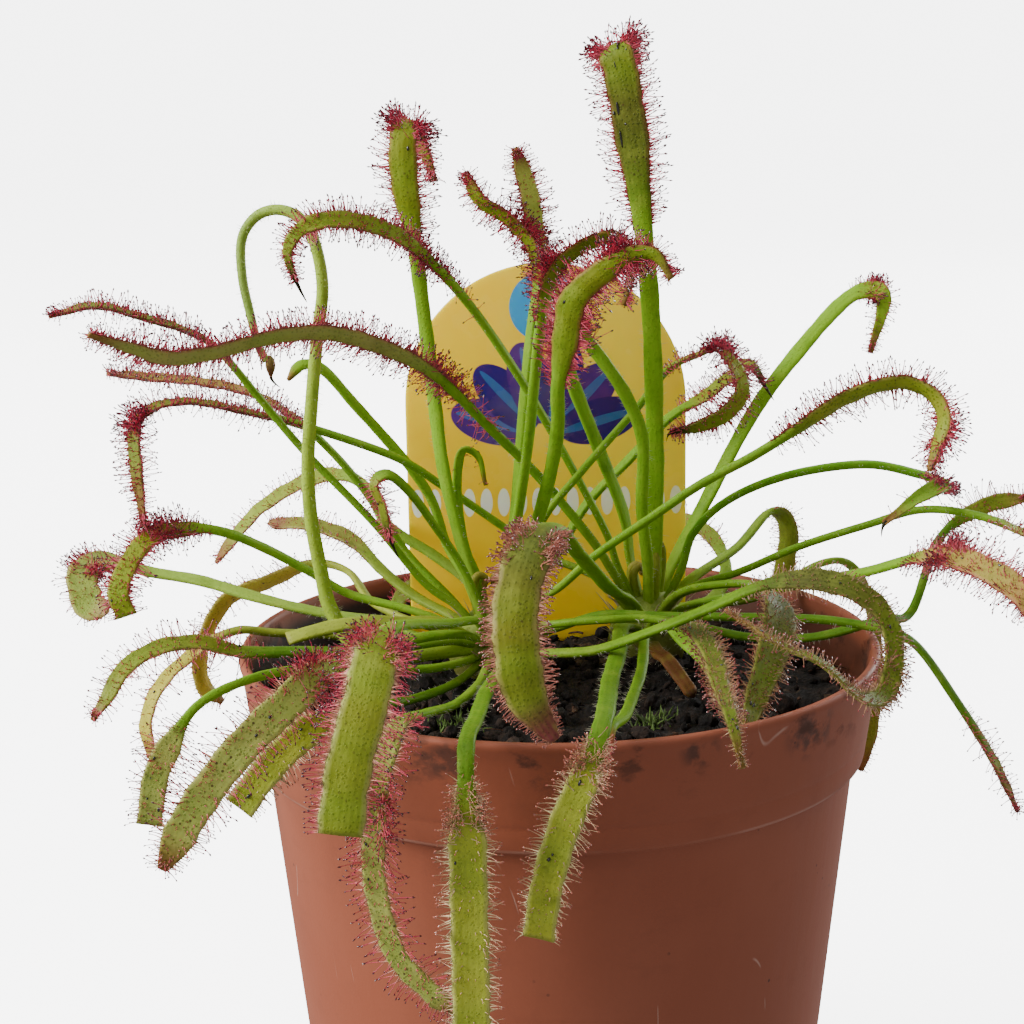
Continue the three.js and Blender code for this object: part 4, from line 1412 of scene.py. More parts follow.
@dataclass
class Leaf(Growth):
    """A strap leaf: petiole, blade, tentacles on its upper face and margins, fine hairs."""

    plan: LeafPlan
    around: Surroundings
    ring: int = 16
    petiole_thick: float = 1.1
    blade_thick: float = 0.62
    tentacle: float = 3.0
    spacing: float = 0.26
    face_density: float = 1.5
    tip_count: int = 14
    tuft_count: int = 260
    hairs_per_mm: float = 2.2
    cup_rest: float = 0.35
    rib: float = 0.12
    rib_wide: float = 0.45
    wave: float = 0.10

    def __post_init__(self) -> None:
        """Lay the path and start the leaf's own stream of random numbers."""
        plan = self.plan
        self.begin(sum(ord(c) * (k + 3) for k, c in enumerate(plan.name)))
        self.path = follow(plan.route, plan.rosette, plan.roll)
        self.phase = self.rng.random(6) * 2.0 * math.pi

    def half_width(self, t: Array) -> Array:
        """Half the strap's width.

        Args:
            t: parts of the whole route.

        Returns:
            The half widths.
        """
        plan = self.plan
        grown = smooth(plan.start - 0.03, plan.start + 0.07, t)
        width = plan.petiole + (plan.blade - plan.petiole) * grown
        tip = np.clip((1.01 - t) / plan.taper, 0.1, 1.0) ** 0.6 if plan.taper else 1.0
        s = t * self.path.length[-1]
        slow, fast = np.sin(s * 0.9 + self.phase[0]), np.sin(s * 2.3 + self.phase[1])
        return 0.5 * width * tip * (1.0 + 0.035 * slow + 0.025 * fast)

    def grown(self, t: Array) -> Array:
        """How far the petiole has turned into blade."""
        return smooth(self.plan.start - 0.02, self.plan.start + 0.045, t)

    def strap(self) -> None:
        """Add the petiole and blade as one closed strap."""
        path, look, n = self.path, self.plan.kind.value, self.ring
        t = path.t[:, None]
        w = self.half_width(path.t)[:, None]
        grown = self.grown(path.t)[:, None]
        face, turn = self.plan.face, turns(n)[None]
        u, v = np.cos(turn), np.sin(turn)
        thick = self.petiole_thick + (self.blade_thick - self.petiole_thick) * grown
        thick = thick * np.where(path.t > 0.97, 0.75, 1.0)[:, None]
        body = 0.5 * thick * np.sign(v) * np.abs(v) ** (0.75 - 0.3 * grown)
        channel = look.cup * w * (u * u - self.cup_rest) * face
        s = path.length[:, None]
        swing = np.sin(s * 1.5 + self.phase[2] + 2.0 * np.sign(u))
        wave = self.wave * grown * np.sign(u) * u * u * swing
        bulge = np.exp(-((u * w / self.rib_wide) ** 2)) * (np.sign(v) == -face)
        lift = body + channel + wave - face * self.rib * grown * bulge
        across = path.side[:, None] * (u * w)[..., None]
        points = path.at[:, None] + across + path.top[:, None] * lift[..., None]
        rows = len(path.t)
        ends = np.stack([points[0].mean(0), points[-1].mean(0)])
        tint = self.tint(t, u, grown)
        tints = np.vstack([tint.reshape(-1, 3), tint[0].mean(0), tint[-1].mean(0)])
        spots = np.broadcast_to(look.spots * grown + 0.04, (rows, n)).ravel()
        self.mesh.add(
            np.vstack([points.reshape(-1, 3), ends]), tube_faces(rows, n), Skin.LEAF.value, tints,
            np.append(spots, (0.0, look.spots)), np.append((u * w).ravel(), (0.0, 0.0)),
        )

    def tint(self, t: Array, u: Array, grown: Array) -> Array:
        """The skin's colour over the strap.

        Args:
            t: each station's part of the route, as a column.
            u: each ring point's place from margin to margin, as a row.
            grown: how far each station has turned into blade.

        Returns:
            A colour for each point.
        """
        plan, look = self.plan, self.plan.kind.value

        def blend(below: Array, colour: Colour, part: Array) -> Array:
            """Mix a colour over those below."""
            part = np.broadcast_to(part, (len(t), u.shape[1]))[..., None]
            return below * (1.0 - part) + np.array(colour) * part

        colour = np.broadcast_to(np.array(look.petiole), (len(t), u.shape[1], 3))
        base = 1.0 - smooth(0.05, 0.25, t)
        colour = blend(colour, SHEATH, 0.6 * base)
        colour = blend(colour, look.blade, grown)
        patch = 0.5 + 0.5 * np.sin(t * 37.0 + self.phase[3]) * np.sin(t * 17.0 + self.phase[4])
        colour = blend(colour, look.petiole, 0.35 * grown * patch)
        colour = blend(colour, look.edge, 0.55 * grown * smooth(0.80, 0.98, np.abs(u)))
        begun = smooth(plan.start - 0.04, plan.start, t)
        young = begun * (1.0 - smooth(0.06, 0.22, t - plan.start))
        colour = blend(colour, GRIME, look.soiled * young)
        if not plan.taper:
            return blend(colour, CUT, smooth(0.994, 1.0, t) * 0.35)
        end = smooth(look.tip_from - 0.04, min(0.99, look.tip_from + 0.06), t)
        return blend(colour, look.tip, end)

    def tentacles(self) -> None:
        """Add the long tentacles of the margins and tip and the short ones of the face."""
        plan, look, rng = self.plan, self.plan.kind.value, self.rng
        if plan.start >= 1.0:
            return
        length = self.path.length
        first = float(np.interp(plan.start - 0.03, self.path.t, length))
        run = length[-1] - first
        rows = []
        for hand in (-1.0, 1.0):
            count = int(run / self.spacing * look.dense)
            s = first + run * (np.arange(count) + rng.random(count)) / count
            rise = np.radians(rng.uniform(-45.0, 55.0, count))
            part = (0.45 + 0.65 * rng.random(count) ** 0.8) * (1.0 - 0.35 * np.maximum(rise, 0.0))
            rows.append((s, np.full(count, hand), rise, part, rng.uniform(-0.3, 0.45, count)))
        count = int(run * plan.blade * self.face_density * look.dense * (1.0 - look.bare))
        s = first + run * rng.random(count)
        u = rng.uniform(-0.88, 0.88, count)
        rise = np.radians(90.0 - 45.0 * np.abs(u))
        part = (0.14 + 0.42 * np.abs(u) ** 1.5) * rng.uniform(0.7, 1.2, count)
        rows.append((s, u, rise, part, rng.uniform(-0.3, 0.4, count)))
        if plan.taper:
            count = int(self.tip_count * look.dense * (0.4 if look.thread else 1.0))
            u = rng.uniform(-1.0, 1.0, count)
            rise = np.radians(rng.uniform(0.0, 60.0, count))
            near = length[-1] - rng.uniform(0.2, 2.0, count)
            part = rng.uniform(0.35, 0.75, count)
            rows.append((near, u, rise, part, rng.uniform(0.3, 1.4, count)))
        s, u, rise, part, lean = (np.concatenate(column) for column in zip(*rows))
        s = np.clip(s, 0.5 * first, length[-1] - 0.1)
        here = self.path.read(np.interp(s, length, self.path.t))
        w = self.half_width(here.t)
        hand = np.sign(u)
        top = here.top * plan.face
        ways = here.side * (hand * np.cos(rise))[:, None] + top * np.sin(rise)[:, None]
        ways = ways + here.along * lean[:, None]
        ways = unit(ways + rng.normal(0.0, 0.10, ways.shape))
        lift = plan.face * look.cup * w * (u * u - self.cup_rest)
        on_face = np.abs(u) < 0.95
        lift = lift + np.where(on_face, plan.face * 0.5 * self.blade_thick * 0.8, 0.0)
        roots = here.at + here.side * (u * w * 0.97)[:, None] + here.top * lift[:, None]
        begin = smooth(first - 0.5, first + 4.0, s)
        end = 1.0 - 0.4 * smooth(length[-1] - 8.0, length[-1] - 2.0, s)
        lengths = self.tentacle * look.reach * part * (0.45 + 0.55 * begin) * end
        bends = unit(top * 0.8 + here.along * 0.3 - here.side * (0.5 * hand)[:, None])
        bends = bends * rng.uniform(0.0, 0.30, (len(s), 1))
        tips = roots + (ways + bends) * lengths[:, None]
        keep = self.around.free(tips) & self.around.free(roots + ways * 0.5 * lengths[:, None])
        self.grow(roots[keep], ways[keep], bends[keep], lengths[keep])

    def tuft(self) -> None:
        """Add the thick tuft of tentacles where the blade folds."""
        plan, rng, n = self.plan, self.rng, self.tuft_count
        if not plan.tuft:
            return
        t = np.clip(plan.tuft_at + rng.normal(0.0, 0.024, n), 0.1, 0.97)
        before, here, after = (self.path.read(t + step) for step in (-0.03, 0.0, 0.03))
        out = unit(2.0 * here.at - before.at - after.at)
        u = rng.choice((-1.0, 1.0), (n, 1)) * rng.uniform(0.0, 1.0, (n, 1)) ** 0.45
        ways = unit(0.55 * out + 0.8 * u * here.side + rng.normal(0.0, 0.45, (n, 3)))
        roots = here.at + here.side * (0.95 * u * self.half_width(t)[:, None]) + 0.2 * out
        lengths = self.tentacle * plan.kind.value.reach * rng.uniform(0.35, 0.95, n)
        keep = self.around.free(roots + ways * lengths[:, None])
        bends = rng.normal(0.0, 0.12, (n, 3))
        self.grow(roots[keep], ways[keep], bends[keep], lengths[keep])

    def grow(self, roots: Array, ways: Array, bends: Array, lengths: Array) -> None:
        """Add tentacles with their beads.

        Args:
            roots: where each begins.
            ways: the direction of each.
            bends: how each is bent.
            lengths: how long each is.
        """
        look, rng = self.plan.kind.value, self.rng
        n = len(roots)
        bead = (0.095 + 0.045 * rng.random(n)) * np.clip(lengths, 0.6, 1.2)
        stalk = 0.040 + 0.024 * rng.random(n)
        neck = 1.0 - 1.7 * float(np.mean(bead)) / max(float(np.mean(lengths)), 0.5) if n else 1.0
        stops = (0.0, 0.5, neck, neck + 0.7 * (1.0 - neck), neck + 1.4 * (1.0 - neck))
        radii = np.stack([2.0 * stalk, stalk, 0.8 * stalk, bead, 0.15 * bead], axis=1)
        shade = rng.uniform(0.7, 1.25, (n, 1, 1))
        root, middle, dark = (np.array(c) for c in (look.root, look.stalk, look.bead))
        tints = np.stack([root, middle, 0.85 * middle, dark, 1.3 * dark])[None] * shade
        slot, beads = Skin.TENTACLE.value, (2, Skin.BEAD.value)
        spikes(self.mesh, slot, roots, ways, bends, lengths, stops, radii, tints, 3, beads)

    def hairs(self) -> None:
        """Add the fine pale hairs along the petiole's edges."""
        rng = self.rng
        end = float(np.interp(min(1.0, self.plan.start), self.path.t, self.path.length))
        count = int(end * self.hairs_per_mm)
        s = end * (0.12 + 0.88 * rng.random(count))
        here = self.path.read(np.interp(s, self.path.length, self.path.t))
        hand = rng.choice((-1.0, 1.0), count)
        w = self.half_width(here.t)
        ways = here.side * hand[:, None] + here.top * rng.uniform(-0.6, 0.6, (count, 1))
        ways = unit(ways + here.along * rng.uniform(-0.2, 0.9, (count, 1)))
        roots = here.at + here.side * (hand * w * 0.9)[:, None]
        lengths = 0.35 + 0.55 * rng.random(count)
        bends = rng.normal(0.0, 0.12, (count, 3))
        keep = self.around.free(roots + ways)
        roots, ways, bends, lengths = roots[keep], ways[keep], bends[keep], lengths[keep]
        radii = np.broadcast_to(np.array([0.030, 0.006]), (len(roots), 2))
        tints = np.broadcast_to(np.array([0.62, 0.60, 0.45]), (len(roots), 2, 3))
        slot, stops = Skin.HAIR.value, (0.0, 1.0)
        spikes(self.mesh, slot, roots, ways, bends, lengths, stops, radii, tints, 3)

    def thread(self) -> None:
        """Add the dried black thread that some leaves end in."""
        long = self.plan.kind.value.thread
        if not long:
            return
        end = self.path.read(np.array([1.0]))
        root = end.at - 0.4 * end.along
        bend = np.array([[0.45, 0.1, -0.65]])
        radii = np.array([[0.32, 0.30, 0.24, 0.17, 0.11, 0.03]])
        tints = np.broadcast_to(np.array(BLACK), (1, len(THREAD_STOPS), 3))
        slot, lengths = Skin.LEAF.value, np.array([long])
        spikes(self.mesh, slot, root, end.along, bend, lengths, THREAD_STOPS, radii, tints, 6)

    def debris(self) -> None:
        """Add dark specks that stick to the blade."""
        rng, plan = self.rng, self.plan
        if plan.start >= 1.0:
            return
        points, faces = ball(1)
        for _ in range(plan.kind.value.specks):
            here = self.path.read(np.array([rng.uniform(plan.start, 0.97)]))
            u = rng.uniform(-0.8, 0.8)
            hand = plan.face if rng.random() < 0.5 else -plan.face
            at = here.at[0] + here.side[0] * u * self.half_width(here.t)[0]
            at = at + here.top[0] * hand * 0.30
            streak = rng.choice((1.0, plan.kind.value.streak))
            stretch = rng.uniform(0.10, 0.24) * np.array([rng.uniform(0.8, 1.8) * streak, 0.8, 0.6])
            axes = np.stack([here.along[0], here.side[0], here.top[0]])
            speck = (lumpy(points, rng) * stretch) @ axes + at
            self.mesh.add(speck, [faces], Skin.BEAD.value, (0.012, 0.009, 0.008))

    def build(self, materials: Sequence[Material]) -> Object:
        """Build the leaf.

        Args:
            materials: the finishes of Skin, in order.

        Returns:
            The leaf.
        """
        self.strap()
        self.tentacles()
        self.tuft()
        self.hairs()
        self.debris()
        self.thread()
        name = self.plan.name
        slot = "dry_leaf" if self.plan.kind is Kind.DRY else "leaf"
        return dress(self.mesh.build(f"leaf_{name}", materials), slot, name)


@dataclass
class Crown(Growth):
    """A rosette's short stem with papery stipules and the youngest leaves."""

    rosette: Rosette
    node: str
    root_z: float = 54.0
    soil_z: float = 73.0
    top_z: float = 84.0
    sides: int = 40
    stipules: int = 46
    young_leaves: int = 4
    young_sides: int = 8

    @property
    def foot(self) -> Array:
        """The crown's place at the height of the pot's base."""
        return np.array([*self.rosette.value, 0.0])

    def stem(self) -> None:
        """Add the stem, ridged where leaf bases join it."""
        soil_z, top_z = self.soil_z, self.top_z
        profile = [(0.05, self.root_z), (1.8, self.root_z), (3.0, soil_z - 6.0),
                   (4.2, soil_z - 1.0), (5.1, soil_z + 1.5), (5.8, soil_z + 4.0),
                   (5.3, top_z - 5.0), (4.3, top_z - 2.5), (2.6, top_z - 0.6), (0.05, top_z)]
        points, faces = lathe(profile, self.sides)
        turn = np.arctan2(points[:, 1], points[:, 0])
        ridge = 1.0 + 0.09 * np.sin(9.0 * turn + 0.35 * points[:, 2]) + 0.04 * np.sin(17.0 * turn)
        points[:, :2] *= ridge[:, None]
        rise = smooth(soil_z - 2.0, top_z - 3.0, points[:, 2])[:, None]
        tint = shaded((0.10, 0.055, 0.025), (0.24, 0.31, 0.05), rise)
        self.mesh.add(points + self.foot, [faces], Skin.LEAF.value, tint, 0.2)

    def stipule_fringe(self) -> None:
        """Add papery stipules between the leaf bases."""
        rng, n = self.rng, self.stipules
        turn = 2.0 * math.pi * rng.random(n)
        out = np.stack([np.cos(turn), np.sin(turn), np.zeros(n)], axis=1)
        z = rng.uniform(self.soil_z + 2.0, self.top_z - 1.0, n)
        roots = out * 4.4 + self.foot + UP * z[:, None]
        ways = unit(out * rng.uniform(0.3, 1.2, (n, 1)) + UP)
        stops = (0.0, 0.5, 1.0)
        radii = np.outer(rng.uniform(0.10, 0.22, n), (1.0, 0.8, 0.1))
        tints = painted((0.50, 0.40, 0.22), rng.uniform(0.6, 1.2, (n, 1, 1)), len(stops))
        lengths = rng.uniform(2.5, 5.5, n)
        spikes(self.mesh, Skin.HAIR.value, roots, ways, out * 0.25, lengths, stops, radii, tints, 4)

    def young(self) -> None:
        """Add furled young leaves standing in the middle."""
        rng, n = self.rng, self.young_sides
        steps = ((0.0, 0.0), (0.4, 0.7), (0.8, 1.1), (1.0, 0.4), (0.93, -0.8), (0.78, -0.5))
        t = np.linspace(0.0, 1.0, 26)
        spin = turns(n)[None, :, None]
        tint = np.array([0.22, 0.34, 0.03]) + t[:, None] * np.array([0.12, -0.14, 0.02])
        for k in range(self.young_leaves):
            turn = 2.0 * math.pi * (k + rng.random()) / self.young_leaves
            out = np.array([math.cos(turn), math.sin(turn), 0.0])
            base = np.array([*self.rosette.value, self.top_z - 2.5]) + out * 1.6
            high = rng.uniform(6.0, 11.0)
            curl = np.array([base + UP * up * high + out * aside for up, aside in steps])
            at = spline(curl, t)
            along = unit(np.gradient(at, axis=0))
            side = np.cross(UP, out)
            lift = unit(np.cross(along, side))
            r = (0.75 - 0.35 * t)[:, None, None]
            ring = side * np.cos(spin) + lift[:, None] * np.sin(spin)
            points = (at[:, None] + r * ring).reshape(-1, 3)
            faces = grid_faces(len(t), n, True)
            self.mesh.add(points, [faces], Skin.LEAF.value, np.repeat(tint, n, axis=0), 0.1)

    def build(self, materials: Sequence[Material]) -> Object:
        """Build the crown.

        Args:
            materials: the finishes of Skin, in order.

        Returns:
            The crown.
        """
        self.begin(int(self.rosette.value[0] * 2) + 100)
        self.stem()
        self.stipule_fringe()
        self.young()
        return dress(self.mesh.build(f"rosette_{self.node}", materials), "leaf", self.node)


@dataclass
class FlowerScape(Growth):
    """The hairy flower stalk with a small closed bud at its nodding tip."""

    route: tuple[Triple, ...]
    r: float = 1.2
    taper: float = 0.55
    sides: int = 14
    hairs_per_mm: float = 11.0
    bud_r: float = 0.68
    bud_long: float = 2.4
    bud_out: float = 0.6
    bud_thread: float = 1.6
    seed: int = 52

    def __post_init__(self) -> None:
        """Lay the path and start the stream of random numbers."""
        self.begin(self.seed)
        self.path = follow(self.route, Rosette.B, 0.0, 0.7)

    def width(self, t: Array) -> Array:
        """The stalk's radius."""
        return self.r * (1.0 - self.taper * t)

    def stalk(self) -> None:
        """Add the stalk."""
        path, n = self.path, self.sides
        turn = turns(n)[None, :, None]
        ring = path.side[:, None] * np.cos(turn) + path.top[:, None] * np.sin(turn)
        points = path.at[:, None] + self.width(path.t)[:, None, None] * ring
        points = np.vstack([points.reshape(-1, 3), path.at[0], path.at[-1]])
        rise = np.repeat(smooth(0.35, 0.95, path.t), n)[:, None]
        tint = shaded((0.40, 0.57, 0.055), (0.26, 0.40, 0.070), rise)
        tint = np.vstack([tint, tint[0], tint[-1]])
        self.mesh.add(points, tube_faces(len(path.t), n), Skin.LEAF.value, tint, 0.1)

    def fuzz(self) -> None:
        """Add the stalk's dense fine hairs."""
        path, rng, length = self.path, self.rng, self.path.length
        count = int(length[-1] * self.hairs_per_mm)
        s = length[-1] * rng.uniform(0.10, 1.0, count)
        here = path.read(np.interp(s, length, path.t))
        turn = 2.0 * math.pi * rng.random((count, 1))
        out = here.side * np.cos(turn) + here.top * np.sin(turn)
        roots = here.at + out * 0.95 * self.width(here.t)[:, None]
        ways = unit(out + here.along * rng.uniform(-0.4, 0.4, (count, 1)))
        radii = np.broadcast_to(np.array([0.026, 0.018, 0.006]), (count, 3))
        stops = (0.0, 0.6, 1.0)
        tints = painted((0.52, 0.56, 0.28), rng.uniform(0.7, 1.2, (count, 1, 1)), len(stops))
        lengths = rng.uniform(0.3, 0.85, count)
        bends = rng.normal(0.0, 0.1, (count, 3))
        spikes(self.mesh, Skin.HAIR.value, roots, ways, bends, lengths, stops, radii, tints, 3)

    def bud(self) -> None:
        """Add the closed pointed bud at the nodding tip, with its dry thread."""
        points, faces = ball(2)
        at, along = self.path.at[-1], self.path.along[-1]
        r = self.bud_r
        shape = points * np.array([r, r, self.bud_long * r])
        rise = smooth(-1.0, 1.0, points[:, 2:3])
        ridges = 1.0 + 0.08 * np.sin(5.0 * np.arctan2(points[:, 1:2], points[:, :1]))
        shape[:, :2] *= (0.45 + 0.55 * smooth(-1.0, 0.2, points[:, 2:3])) * ridges
        tint = shaded((0.15, 0.035, 0.02), (0.17, 0.12, 0.035), rise)
        place = at + along * self.bud_out * self.bud_long * r
        self.mesh.add(shape + place, [faces], Skin.LEAF.value, tint, 0.5)
        stops = (0.0, 0.3, 0.6, 0.85, 1.0)
        radii = np.array([[0.22, 0.18, 0.14, 0.10, 0.03]])
        tints = np.broadcast_to(np.array(BLACK), (1, len(stops), 3))
        tip = (place - UP * (0.85 * self.bud_long * r))[None]
        way, bend = np.array([[0.3, 0.0, -1.0]]), np.array([[0.5, 0.0, 0.1]])
        slot, lengths = Skin.LEAF.value, np.array([self.bud_thread])
        spikes(self.mesh, slot, tip, way, bend, lengths, stops, radii, tints, 5)

    def build(self, materials: Sequence[Material]) -> Object:
        """Build the stalk with its hairs and bud.

        Args:
            materials: the finishes of Skin, in order.

        Returns:
            The flower stalk.
        """
        self.stalk()
        self.fuzz()
        self.bud()
        return dress(self.mesh.build("hairy_scape", materials), "stalk", "flower_scape")


